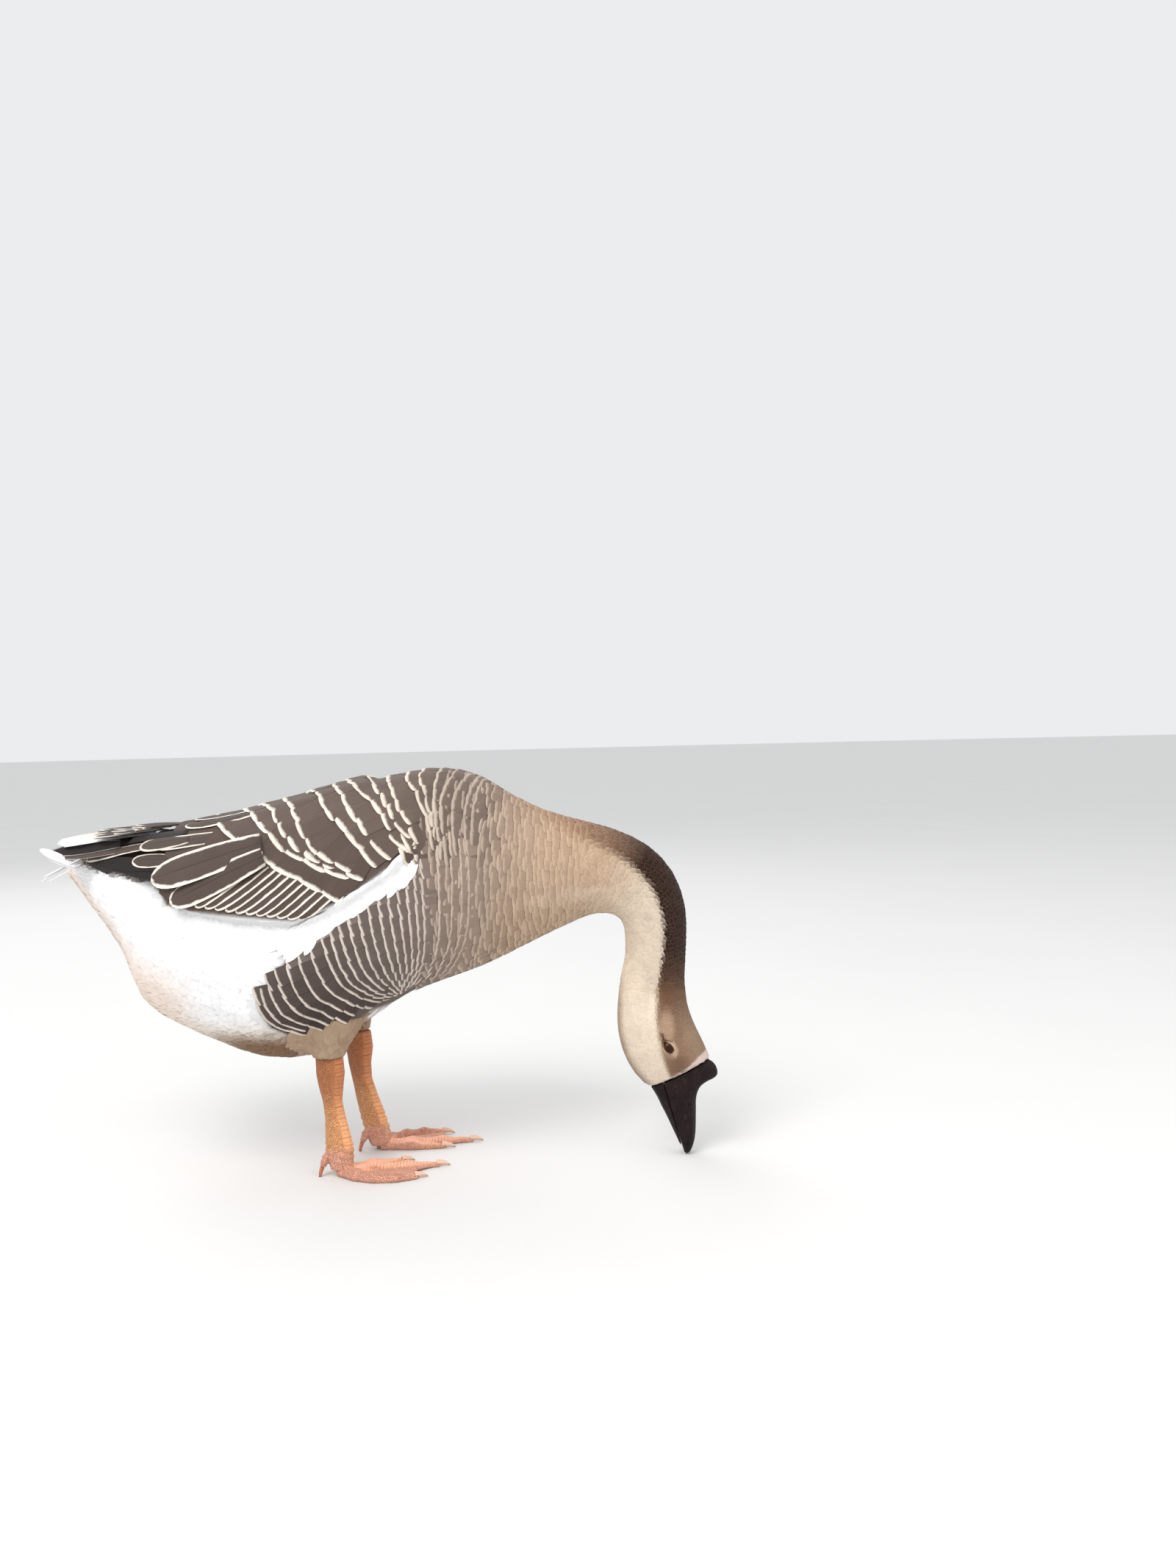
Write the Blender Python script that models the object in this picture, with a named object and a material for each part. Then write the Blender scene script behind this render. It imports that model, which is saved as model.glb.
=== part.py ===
"""A domestic goose of the knob-billed kind, life size, standing with its neck
arched forward and the tip of its bill just over the floor, as it does to feed.

Metres, +Z up. The bird faces +X, so its right side is towards -Y. It stands on
the floor at Z = 0 and the origin is under the middle of its bounding box.

The body is one loft from vent to forehead, parted by thin cuts into trunk,
lengths of neck and head. Wings, tail, bill, eyes, thighs, legs, feet and claws
are built beside it and are cut to meet it.
"""

import math
from dataclasses import dataclass

import bmesh
import bpy
from mathutils import Matrix, Vector

# ---- driving dimensions -----------------------------------------------------

GAP = 0.0004  # clearance between two pieces that meet
NEAREST = 0.00001  # points closer than this are made one
RIGHT, LEFT = -1, 1  # the sign of Y on each side of the bird

RINGS_PER_SPAN = 2  # rings of the loft from one named section to the next
BODY_SIDES = 22  # points round each ring of the body
WING_SIDES = 20
BILL_SIDES = 14
LEG_SIDES = 12
TOE_SIDES = 8
CLAW_SIDES = 6
RINGS_PER_KNUCKLE = 3  # rings of a toe from one joint's pad to the next
EYE_RINGS, KNOB_RINGS = 8, 9

EYE_CENTRE = (0.2880, 0.0178, 0.1175)  # the right eye's Y is the same, negative
EYE_RADIUS = 0.0078

KNOB_CENTRE = (0.3262, 0.0, 0.0853)
KNOB_RADII = (0.0144, 0.0125, 0.0146)

TAIL_PIVOT = (-0.1900, 0.3640)  # x and z of the point that the tail feathers fan from
TAIL_REACH = 0.1530  # from the pivot to the tip of the middle feathers
TAIL_ROOT = 0.0645  # from the pivot to the straight front edge of the fan
TAIL_SPREAD = math.radians(23)  # half the angle of the fan
TAIL_THICKNESS = 0.0030
TAIL_ROOT_THICKNESS = 0.0090
TAIL_DROOP = 0.16  # how much a point of the fan falls for each metre off the middle
TAIL_SLOPE = 0.065  # how much the fan falls for each metre towards its tip
TAIL_TIP_FALL = 0.0060  # how much the tips curl down
TAIL_SQUARENESS = 0.0040  # how much longer the outer feathers are

SOLE_LEVEL = 0.0
TOE_RISE = 0.62  # height of a toe's centre line, in radii, which leaves a flat sole
WEB_BOTTOM, WEB_THICKNESS = 0.0008, 0.0020
WEB_SAG = 0.20  # how far the web's edge is drawn back between two toes
WEB_STEPS = 5  # along that edge
ANKLE_TOP = 0.0190  # where the foot ends and the shank starts
CLAW_LENGTH = 0.0140
CLAW_INSET = 0.0030  # how far into the toe a claw starts, before it is cut to meet it
CLAW_RADIUS = 0.0032

HIND_TOE_INWARD = 0.0020  # the hind toe sits a little to the inner side
# The lines of the hind toe and its claw: distance behind the root, height, radius.
HIND_TOE = (
    (0.0090, 0.0275, 0.0044),
    (0.0135, 0.0235, 0.0048),
    (0.0175, 0.0170, 0.0043),
    (0.0205, 0.0100, 0.0034),
)
HIND_CLAW = (
    (0.0196, 0.0122, 0.0024),
    (0.0214, 0.0075, 0.0024),
    (0.0226, 0.0035, 0.0020),
    (0.0232, -0.0010, 0.0015),
)

TOES = ("inner", "middle", "outer")
TOE_LENGTHS = {"inner": 0.0690, "middle": 0.0990, "outer": 0.0800}
TOE_BOWS = {"inner": 0.0020, "middle": 0.0, "outer": 0.0160}  # how far they curve out
TOE_RADIUS_AT_BASE, TOE_RADIUS_AT_TIP = 0.0074, 0.0042
KNUCKLE_SWELL = 0.0010  # how far a joint's pad stands out of the toe
KNUCKLES = {"inner": 2, "middle": 3, "outer": 4}


@dataclass(frozen=True)
class Section:
    """A ring across the body, from a point on the back to one on the belly."""

    name: str
    back: tuple  # x, z
    belly: tuple  # x, z
    half_width: float
    low: float = 0.0  # moves the widest place towards the belly, in half depths


@dataclass(frozen=True)
class Joint:
    """A point on the line of a leg, with the leg's half sizes there."""

    place: tuple
    half_depth: float  # along the way the leg swings
    half_width: float


@dataclass(frozen=True)
class Leg:
    """One leg: its side, the lines of thigh and shank, and the toes' headings.

    A heading is the angle from +X towards +Y of the line to the toe's tip.
    """

    side: int
    thigh: tuple
    thigh_end: float  # height of the cut above the hock
    shank: tuple
    headings: dict


BODY = (
    Section("vent tip", (-0.3180, 0.3480), (-0.3370, 0.3120), 0.0170),
    Section("vent rear", (-0.2900, 0.3500), (-0.3060, 0.2720), 0.0400),
    Section("vent", (-0.2540, 0.3520), (-0.2720, 0.2240), 0.0640),
    Section("abdomen rear", (-0.2180, 0.3545), (-0.2510, 0.1740), 0.0810, 0.06),
    Section("abdomen", (-0.1850, 0.3585), (-0.2160, 0.1510), 0.0910, 0.12),
    Section("fore abdomen", (-0.1500, 0.3650), (-0.1740, 0.1320), 0.0985, 0.14),
    Section("paunch", (-0.1150, 0.3740), (-0.1300, 0.1160), 0.1030, 0.14),
    Section("hips", (-0.0680, 0.3875), (-0.0760, 0.1170), 0.1060, 0.12),
    Section("keel", (-0.0200, 0.4010), (-0.0260, 0.1490), 0.1060, 0.10),
    Section("breast", (0.0260, 0.4110), (0.0220, 0.1780), 0.1010, 0.08),
    Section("shoulders", (0.0640, 0.4140), (0.0640, 0.1930), 0.0910, 0.04),
    Section("crop", (0.1000, 0.4040), (0.0990, 0.2050), 0.0760),
    Section("neck root", (0.1320, 0.3840), (0.1300, 0.2190), 0.0600),
    Section("low neck", (0.1660, 0.3670), (0.1590, 0.2330), 0.0490),
    Section("fore neck", (0.2010, 0.3560), (0.1880, 0.2460), 0.0410),
    Section("bend start", (0.2370, 0.3455), (0.2140, 0.2555), 0.0365),
    Section("bend", (0.2730, 0.3270), (0.2350, 0.2540), 0.0340),
    Section("bend over", (0.2985, 0.2980), (0.2440, 0.2440), 0.0325),
    Section("bend end", (0.3105, 0.2620), (0.2455, 0.2290), 0.0315),
    Section("upper neck", (0.3110, 0.2260), (0.2450, 0.2110), 0.0305),
    Section("throat top", (0.3085, 0.1900), (0.2400, 0.1900), 0.0295),
    Section("nape", (0.3095, 0.1630), (0.2368, 0.1650), 0.0285),
    Section("cheeks", (0.3150, 0.1430), (0.2355, 0.1390), 0.0270),
    Section("brow", (0.3230, 0.1250), (0.2400, 0.1120), 0.0248),
    Section("lores", (0.3305, 0.1080), (0.2520, 0.0870), 0.0208),
    Section("bill root", (0.3355, 0.0980), (0.2680, 0.0700), 0.0172),
    Section("bill socket", (0.3400, 0.0880), (0.2780, 0.0580), 0.0150),
)

# Each cut goes through a point in the middle plane, across a direction (x, z).
BODY_CUTS = (
    ("trunk", (0.1180, 0.3000), (1.0, -0.10)),
    ("neck_base", (0.2200, 0.3000), (1.0, -0.35)),
    ("neck_bend", (0.2780, 0.2330), (0.12, -1.0)),
    ("neck_upper", (0.2750, 0.1640), (0.0, -1.0)),
    ("head", (0.2990, 0.0853), (0.4160, -0.9094)),
)

BILL = (
    Section("socket", (0.3340, 0.1080), (0.2640, 0.0790), 0.0165),
    Section("base", (0.3300, 0.0930), (0.2705, 0.0700), 0.0168),
    Section("behind nostril", (0.3245, 0.0770), (0.2758, 0.0610), 0.0166),
    Section("nostril", (0.3182, 0.0610), (0.2803, 0.0510), 0.0156),
    Section("middle", (0.3168, 0.0445), (0.2862, 0.0388), 0.0147),
    Section("fore bill", (0.3163, 0.0290), (0.2917, 0.0262), 0.0140),
    Section("nail root", (0.3150, 0.0160), (0.2966, 0.0152), 0.0126),
    Section("nail", (0.3120, 0.0065), (0.3005, 0.0055), 0.0096),
    Section("nail tip", (0.3080, -0.0010), (0.3034, -0.0015), 0.0050),
)
MOUTH_CORNER, MOUTH_TIP = (0.2835, 0.0740), (0.3022, 0.0050)  # x, z of the mouth line
LOWER_BILL_END = 0.0105  # height at which the lower half stops, inside the nail
BILL_TIP_LEVEL = 0.0018  # the flat tip of the nail hangs this far over the floor

# The outside of both folded wings together, from the wing tips to the shoulders.
WINGS = (
    Section("wing tips", (-0.3200, 0.3540), (-0.3190, 0.3200), 0.0260),
    Section("long primaries", (-0.2960, 0.3580), (-0.2940, 0.2850), 0.0460),
    Section("primaries", (-0.2640, 0.3605), (-0.2620, 0.2420), 0.0670),
    Section("tertial tips", (-0.2250, 0.3640), (-0.2250, 0.2050), 0.0870),
    Section("tertials", (-0.1750, 0.3705), (-0.1800, 0.1700), 0.1020, 0.08),
    Section("secondaries", (-0.1250, 0.3815), (-0.1300, 0.1300), 0.1115, 0.12),
    Section("coverts", (-0.0750, 0.3945), (-0.0800, 0.1150), 0.1155, 0.12),
    Section("scapulars", (-0.0250, 0.4080), (-0.0280, 0.1450), 0.1150, 0.10),
    Section("wing root", (0.0260, 0.4160), (0.0220, 0.1700), 0.1090, 0.08),
    Section("shoulder", (0.0640, 0.4180), (0.0640, 0.1880), 0.0985, 0.04),
)

# The edge of a folded wing seen from the side, x and z, from the wing tip forward
# along the lower edge, up the front and back over the bird.
WING_EDGE = (
    (-0.3300, 0.3280),
    (-0.2900, 0.3220),
    (-0.2520, 0.3140),
    (-0.2150, 0.2960),
    (-0.1850, 0.2800),
    (-0.1400, 0.2710),
    (-0.0800, 0.2660),
    (-0.0300, 0.2840),
    (0.0150, 0.3120),
    (0.0430, 0.3400),
    (0.0400, 0.3700),
    (0.0050, 0.3920),
    (-0.0400, 0.4200),
    (-0.2540, 0.4200),
    (-0.2540, 0.3440),
    (-0.3300, 0.3380),
)
PLATE_DEPTH = 0.4  # of the cutter made from that edge
WING_PARTING = -0.2150  # x of the thin cut between the wing and its primaries

LEGS = {
    "right": Leg(
        side=RIGHT,
        thigh=(
            Joint((-0.0450, 0.0560, 0.2050), 0.0420, 0.0380),
            Joint((-0.0520, 0.0540, 0.1640), 0.0320, 0.0300),
            Joint((-0.0580, 0.0500, 0.1370), 0.0205, 0.0185),
            Joint((-0.0590, 0.0480, 0.1180), 0.0165, 0.0140),
        ),
        thigh_end=0.1230,
        shank=(
            Joint((-0.0590, 0.0480, 0.1300), 0.0140, 0.0100),
            Joint((-0.0580, 0.0475, 0.1060), 0.0148, 0.0112),
            Joint((-0.0578, 0.0475, 0.0940), 0.0130, 0.0098),
            Joint((-0.0568, 0.0470, 0.0770), 0.0100, 0.0078),
            Joint((-0.0548, 0.0465, 0.0610), 0.0106, 0.0074),
            Joint((-0.0530, 0.0460, 0.0440), 0.0128, 0.0080),
            Joint((-0.0512, 0.0460, 0.0270), 0.0146, 0.0094),
            Joint((-0.0490, 0.0460, 0.0080), 0.0120, 0.0100),
        ),
        headings={
            "inner": math.radians(32),
            "middle": math.radians(12),
            "outer": math.radians(-11),
        },
    ),
    "left": Leg(
        side=LEFT,
        thigh=(
            Joint((-0.0460, 0.0560, 0.2050), 0.0400, 0.0380),
            Joint((-0.0500, 0.0520, 0.1680), 0.0300, 0.0300),
            Joint((-0.0500, 0.0460, 0.1420), 0.0200, 0.0185),
            Joint((-0.0470, 0.0430, 0.1230), 0.0160, 0.0140),
        ),
        thigh_end=0.1300,
        shank=(
            Joint((-0.0460, 0.0430, 0.1370), 0.0140, 0.0100),
            Joint((-0.0437, 0.0420, 0.1110), 0.0148, 0.0112),
            Joint((-0.0438, 0.0415, 0.0940), 0.0124, 0.0098),
            Joint((-0.0414, 0.0405, 0.0760), 0.0108, 0.0078),
            Joint((-0.0370, 0.0400, 0.0580), 0.0120, 0.0074),
            Joint((-0.0312, 0.0395, 0.0380), 0.0134, 0.0080),
            Joint((-0.0262, 0.0390, 0.0200), 0.0138, 0.0094),
            Joint((-0.0220, 0.0385, 0.0070), 0.0120, 0.0100),
        ),
        headings={
            "inner": math.radians(-2),
            "middle": math.radians(10.5),
            "outer": math.radians(38),
        },
    ),
}

# name: colour, roughness, of the finish that each node wears
FINISHES = {
    "body_feathers": ((0.42, 0.34, 0.28), 0.85),
    "neck_feathers": ((0.72, 0.62, 0.50), 0.85),
    "head_feathers": ((0.60, 0.48, 0.38), 0.85),
    "wing_feathers": ((0.16, 0.13, 0.12), 0.70),
    "tail_feathers": ((0.80, 0.78, 0.75), 0.75),
    "thigh_feathers": ((0.85, 0.83, 0.78), 0.85),
    "bill_horn": ((0.025, 0.022, 0.025), 0.45),
    "eye": ((0.060, 0.030, 0.015), 0.08),
    "leg_skin": ((0.70, 0.30, 0.12), 0.55),
    "claw_horn": ((0.30, 0.22, 0.18), 0.45),
}


# ---- modelling helpers ------------------------------------------------------


def clear_scene():
    """Empties the scene of objects and makes the collection for the bird."""
    for obj in list(bpy.data.objects):
        bpy.data.objects.remove(obj)
    collection = bpy.data.collections.new("goose")
    bpy.context.scene.collection.children.link(collection)
    return collection


def finish_named(name):
    """The Principled material of that name, made on first use."""
    material = bpy.data.materials.get(name)
    if material is None:
        colour, roughness = FINISHES[name]
        material = bpy.data.materials.new(name)
        material.use_nodes = True
        shader = material.node_tree.nodes["Principled BSDF"]
        shader.inputs["Base Color"].default_value = (*colour, 1.0)
        shader.inputs["Roughness"].default_value = roughness
        shader.inputs["Metallic"].default_value = 0.0
    return material


def blend(before, start, end, after, share):
    """A smooth curve's value at a share of the way from start to end."""
    slope_in, slope_out = (end - before) / 2, (after - start) / 2
    square, cube = share**2, share**3
    return (
        (2 * cube - 3 * square + 1) * start
        + (cube - 2 * square + share) * slope_in
        + (3 * square - 2 * cube) * end
        + (cube - square) * slope_out
    )


def resampled(rows, per_span):
    """Rows of numbers joined by a smooth curve, with per_span steps to a span."""
    ends = [rows[0], *rows, rows[-1]]
    found = []
    for i in range(len(rows) - 1):
        for step in range(per_span):
            share = step / per_span
            found.append([blend(*four, share) for four in zip(*ends[i : i + 4])])
    return [*found, list(rows[-1])]


def body_ring(row, sides):
    """The points of one ring. The row is back x, z, belly x, z, half width, low."""
    back, belly = Vector((row[0], 0, row[1])), Vector((row[2], 0, row[3]))
    middle, half = (back + belly) / 2, (back - belly) / 2
    points = []
    for i in range(sides):
        angle = 2 * math.pi * i / sides
        up = math.cos(angle) - row[5] * math.sin(angle) ** 2
        points.append(middle + half * up + Vector((0, row[4] * math.sin(angle), 0)))
    return points


def limb_ring(row, ahead, across, sides):
    """The points of one ring round a leg or toe. The row is x, y, z and half sizes."""
    middle, swing = Vector(row[:3]), across.cross(ahead).normalized()
    points = []
    for i in range(sides):
        angle = 2 * math.pi * i / sides
        side_step = across * (row[4] * math.cos(angle))
        points.append(middle + side_step + swing * (row[3] * math.sin(angle)))
    return points


def loft(name, rings):
    """A closed mesh object through rings of as many points each, its ends flat."""
    mesh = bpy.data.meshes.new(name)
    model = bmesh.new()
    loops = [[model.verts.new(p) for p in ring] for ring in rings]
    sides = len(loops[0])
    for first, second in zip(loops, loops[1:]):
        for i in range(sides):
            j = (i + 1) % sides
            model.faces.new((first[i], first[j], second[j], second[i]))
    model.faces.new(loops[0])
    model.faces.new(loops[-1])
    bmesh.ops.recalc_face_normals(model, faces=model.faces)
    model.to_mesh(mesh)
    model.free()
    return bpy.data.objects.new(name, mesh)


def body_loft(name, sections, sides, per_span=RINGS_PER_SPAN):
    """The loft through named sections."""
    rows = [(*s.back, *s.belly, s.half_width, s.low) for s in sections]
    return loft(name, [body_ring(row, sides) for row in resampled(rows, per_span)])


def limb_loft(name, joints, sides, across=None, per_span=1):
    """The loft along a leg or toe. The way across it is level where none is given."""
    rows = [(*j.place, j.half_depth, j.half_width) for j in joints]
    rows = resampled(rows, per_span)
    rings = []
    for i, row in enumerate(rows):
        before, after = rows[max(i - 1, 0)], rows[min(i + 1, len(rows) - 1)]
        ahead = (Vector(after[:3]) - Vector(before[:3])).normalized()
        level = across or ahead.cross(Vector((0, 0, 1))).normalized()
        rings.append(limb_ring(row, ahead, level, sides))
    return loft(name, rings)


def on_side(side, joints):
    """The joints with each place moved to that side of the bird."""
    return [
        Joint((j.place[0], side * j.place[1], j.place[2]), j.half_depth, j.half_width)
        for j in joints
    ]


def grown(obj, by=GAP):
    """A copy of the object with its surface moved out by that much, for cutting."""
    copy = bpy.data.objects.new(obj.name + ".cutter", obj.data.copy())
    for vertex in copy.data.vertices:
        vertex.co += vertex.normal * by
    return copy


def combine(obj, other, operation):
    """Applies a Boolean of the other mesh to the object, and removes the other."""
    scene = bpy.context.scene.collection
    for each in (obj, other):
        scene.objects.link(each)
    modifier = obj.modifiers.new(operation.lower(), "BOOLEAN")
    modifier.operation = operation
    modifier.object = other
    modifier.solver = "EXACT"
    graph = bpy.context.evaluated_depsgraph_get()
    made = bpy.data.meshes.new_from_object(obj.evaluated_get(graph))
    model = bmesh.new()
    model.from_mesh(made)
    bmesh.ops.remove_doubles(model, verts=model.verts, dist=NEAREST)
    bmesh.ops.dissolve_degenerate(model, edges=model.edges, dist=NEAREST)
    bmesh.ops.triangulate(model, faces=model.faces)
    model.to_mesh(made)
    model.free()
    obj.modifiers.clear()
    obj.data = made
    for each in (obj, other):
        scene.objects.unlink(each)
    bpy.data.objects.remove(other)
    return obj


def kept_side(obj, name, point, normal):
    """A copy of the object with only what lies behind the plane, closed there."""
    mesh = bpy.data.meshes.new(name)
    model = bmesh.new()
    model.from_mesh(obj.data)
    bmesh.ops.bisect_plane(
        model,
        geom=[*model.verts, *model.edges, *model.faces],
        dist=1e-7,
        plane_co=point,
        plane_no=normal,
        clear_outer=True,
    )
    rim = [edge for edge in model.edges if edge.is_boundary]
    bmesh.ops.holes_fill(model, edges=rim, sides=0)
    bmesh.ops.triangulate(model, faces=[f for f in model.faces if len(f.verts) > 4])
    bmesh.ops.recalc_face_normals(model, faces=model.faces)
    model.to_mesh(mesh)
    model.free()
    return bpy.data.objects.new(name, mesh)


def parted(obj, names, point, normal):
    """Cuts the object in two with a thin gap: the part behind and the part ahead."""
    point, normal = Vector(point), Vector(normal).normalized()
    behind = kept_side(obj, names[0], point - normal * GAP / 2, normal)
    ahead = kept_side(obj, names[1], point + normal * GAP / 2, -normal)
    return behind, ahead


def plate(name, outline, bottom, thickness):
    """A flat plate: the outline is a 2D curve of x, y points, filled and extruded."""
    curve = bpy.data.curves.new(name, "CURVE")
    curve.dimensions = "2D"
    curve.fill_mode = "BOTH"
    curve.extrude = thickness / 2
    spline = curve.splines.new("POLY")
    spline.points.add(len(outline) - 1)
    for point, place in zip(spline.points, outline):
        point.co = (*place, 0.0, 1.0)
    spline.use_cyclic_u = True
    drawn = bpy.data.objects.new(name, curve)
    bpy.context.scene.collection.objects.link(drawn)
    graph = bpy.context.evaluated_depsgraph_get()
    mesh = bpy.data.meshes.new_from_object(drawn.evaluated_get(graph))
    bpy.data.objects.remove(drawn)
    model = bmesh.new()
    model.from_mesh(mesh)
    bmesh.ops.remove_doubles(model, verts=model.verts, dist=1e-6)
    bmesh.ops.translate(model, verts=model.verts, vec=(0, 0, bottom + thickness / 2))
    bmesh.ops.recalc_face_normals(model, faces=model.faces)
    model.to_mesh(mesh)
    model.free()
    return bpy.data.objects.new(name, mesh)


def ball(name, centre, radii, rings):
    """A stretched sphere."""
    mesh = bpy.data.meshes.new(name)
    model = bmesh.new()
    bmesh.ops.create_uvsphere(model, u_segments=2 * rings, v_segments=rings, radius=1)
    bmesh.ops.scale(model, verts=model.verts, vec=radii)
    bmesh.ops.translate(model, verts=model.verts, vec=centre)
    model.to_mesh(mesh)
    model.free()
    return bpy.data.objects.new(name, mesh)


# ---- the bird's sub-parts ---------------------------------------------------


def make_body():
    """Trunk, neck lengths and head, as a name to object dictionary."""
    rest = body_loft("body", BODY, BODY_SIDES)
    pieces = {}
    for name, place, across in BODY_CUTS:
        point, normal = (place[0], 0, place[1]), (across[0], 0, across[1])
        pieces[name], rest = parted(rest, (name, "rest"), point, normal)
    return pieces


def make_eyes(head):
    """Both eyes, each let into the head."""
    eyes = {}
    for word, side in (("right", RIGHT), ("left", LEFT)):
        centre = (EYE_CENTRE[0], side * EYE_CENTRE[1], EYE_CENTRE[2])
        eye = ball(f"eye_{word}", centre, [EYE_RADIUS] * 3, EYE_RINGS)
        combine(head, grown(eye), "DIFFERENCE")
        eyes[f"eye_{word}"] = eye
    return eyes


def make_bill():
    """The knob and the upper and lower halves of the bill, in front of the head."""
    _, place, across = BODY_CUTS[-1]
    normal = Vector((across[0], 0, across[1])).normalized()
    face = Vector((place[0], 0, place[1])) + normal * GAP / 2
    whole = kept_side(body_loft("bill", BILL, BILL_SIDES), "bill", face, -normal)
    knob = kept_side(
        ball("knob", KNOB_CENTRE, KNOB_RADII, KNOB_RINGS), "bill_knob", face, -normal
    )
    whole = kept_side(whole, "bill", (0, 0, BILL_TIP_LEVEL), (0, 0, -1))
    along = Vector((MOUTH_TIP[0] - MOUTH_CORNER[0], 0, MOUTH_TIP[1] - MOUTH_CORNER[1]))
    across_mouth = Vector((0, 1, 0)).cross(along).normalized()
    corner = (MOUTH_CORNER[0], 0, MOUTH_CORNER[1])
    upper, lower = parted(whole, ("bill_upper", "bill_lower"), corner, across_mouth)
    combine(upper, grown(knob), "DIFFERENCE")
    lower_end = (0, 0, LOWER_BILL_END)
    lower = kept_side(lower, "bill_lower", lower_end, (0, 0, -1))
    return {"bill_knob": knob, "bill_upper": upper, "bill_lower": lower}


def make_tail():
    """The fan of tail feathers, as one thin roof-shaped slab."""
    steps, across = 5, 12
    rings = []
    for i in range(steps + 1):
        share = i / steps
        deep = TAIL_ROOT_THICKNESS + share * (TAIL_THICKNESS - TAIL_ROOT_THICKNESS)
        top, bottom = [], []
        for j in range(across + 1):
            aside = 2 * j / across - 1
            turn = TAIL_SPREAD * aside
            start = TAIL_ROOT / math.cos(turn)
            reach = TAIL_REACH + TAIL_SQUARENESS * abs(aside)
            out = start + (reach - start) * share
            x, y = TAIL_PIVOT[0] - out * math.cos(turn), out * math.sin(turn)
            fall = TAIL_SLOPE * out + TAIL_DROOP * abs(y) + TAIL_TIP_FALL * share**4
            top.append(Vector((x, y, TAIL_PIVOT[1] - fall)))
            bottom.append(Vector((x, y, TAIL_PIVOT[1] - fall - deep)))
        rings.append([*top, *reversed(bottom)])
    return loft("tail", rings)


def make_wings(trunk):
    """Both folded wings, each parted from its primaries."""
    wings = {}
    for word, side in (("right", RIGHT), ("left", LEFT)):
        wing = body_loft("wing", WINGS, WING_SIDES)
        edge = plate("edge", WING_EDGE, 0.0, PLATE_DEPTH)
        edge.data.transform(Matrix.Rotation(math.pi / 2, 4, "X"))
        to_side = GAP + (PLATE_DEPTH if side == LEFT else 0)
        edge.data.transform(Matrix.Translation((0, side * to_side, 0)))
        combine(wing, edge, "INTERSECT")
        combine(wing, grown(trunk), "DIFFERENCE")
        names = (f"primaries_{word}", f"wing_{word}")
        wings |= zip(names, parted(wing, names, (WING_PARTING, 0, 0), (1, 0, 0)))
    return wings


def foot_root(leg):
    """The point on the floor under the end of the shank."""
    x, y, _ = leg.shank[-1].place
    return Vector((x, leg.side * y, 0))


def toe_point(leg, toe, share):
    """The point on the floor at a share of the way along a toe's bowed line."""
    angle = leg.headings[toe]
    ahead = Vector((math.cos(angle), math.sin(angle), 0))
    outward = Vector((-ahead.y, ahead.x, 0)) * leg.side
    if toe == "inner":
        outward = -outward
    bow = TOE_BOWS[toe] * 4 * share * (1 - share)
    return foot_root(leg) + ahead * (TOE_LENGTHS[toe] * share) + outward * bow


def toe_end(leg, toe):
    """The tip of a toe and the direction in which it points there."""
    end = toe_point(leg, toe, 1.0)
    return end, (end - toe_point(leg, toe, 0.9)).normalized()


def make_toe(name, leg, toe):
    """One front toe, thickest at its root, with a pad at each joint."""
    count = RINGS_PER_KNUCKLE * KNUCKLES[toe]
    joints = []
    for i in range(count + 1):
        share = i / count
        place = toe_point(leg, toe, share)
        radius = TOE_RADIUS_AT_BASE + share * (TOE_RADIUS_AT_TIP - TOE_RADIUS_AT_BASE)
        radius += KNUCKLE_SWELL * math.cos(2 * math.pi * share * KNUCKLES[toe])
        radius *= min(1.0, 0.55 + 6 * (1 - share))
        height = SOLE_LEVEL + TOE_RISE * radius
        joints.append(Joint((place.x, place.y, height), radius, radius))
    return limb_loft(name, joints, TOE_SIDES)


def web_outline(leg):
    """The edge of the web, from behind the shank round by the toes' tips."""
    root = foot_root(leg)
    points = [root - toe_end(leg, "middle")[1] * 0.004]
    points += [toe_point(leg, "inner", share) for share in (0.3, 0.6)]
    for first, second in zip(TOES, TOES[1:]):
        start, end = toe_point(leg, first, 0.9), toe_point(leg, second, 0.9)
        for i in range(WEB_STEPS):
            sag = WEB_SAG * math.sin(math.pi * i / WEB_STEPS)
            points.append(start.lerp(end, i / WEB_STEPS).lerp(root, sag))
    points += [toe_point(leg, "outer", share) for share in (0.9, 0.6, 0.3)]
    return [(p.x, p.y) for p in points]


def make_claw(name, leg, toe, foot):
    """The curved claw on the end of a front toe."""
    end, ahead = toe_end(leg, toe)
    joints = []
    for i in range(5):
        share = i / 4
        place = end + ahead * (CLAW_LENGTH * share - CLAW_INSET)
        radius = CLAW_RADIUS * (1 - share) ** 0.7 + 0.0005
        height = SOLE_LEVEL + radius + 0.0012 * math.sin(math.pi * share) + GAP
        joints.append(Joint((place.x, place.y, height), radius, 0.8 * radius))
    return combine(limb_loft(name, joints, CLAW_SIDES), grown(foot), "DIFFERENCE")


def hind_piece(name, leg, line, sides):
    """A piece behind the ankle, along a line of distance back, height and radius."""
    behind = -toe_end(leg, "middle")[1]
    root = foot_root(leg) - Vector((0, leg.side * HIND_TOE_INWARD, 0))
    joints = [
        Joint((*(root + behind * back).xy, height), radius, radius)
        for back, height, radius in line
    ]
    return limb_loft(name, joints, sides, across=behind.cross(Vector((0, 0, 1))))


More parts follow.
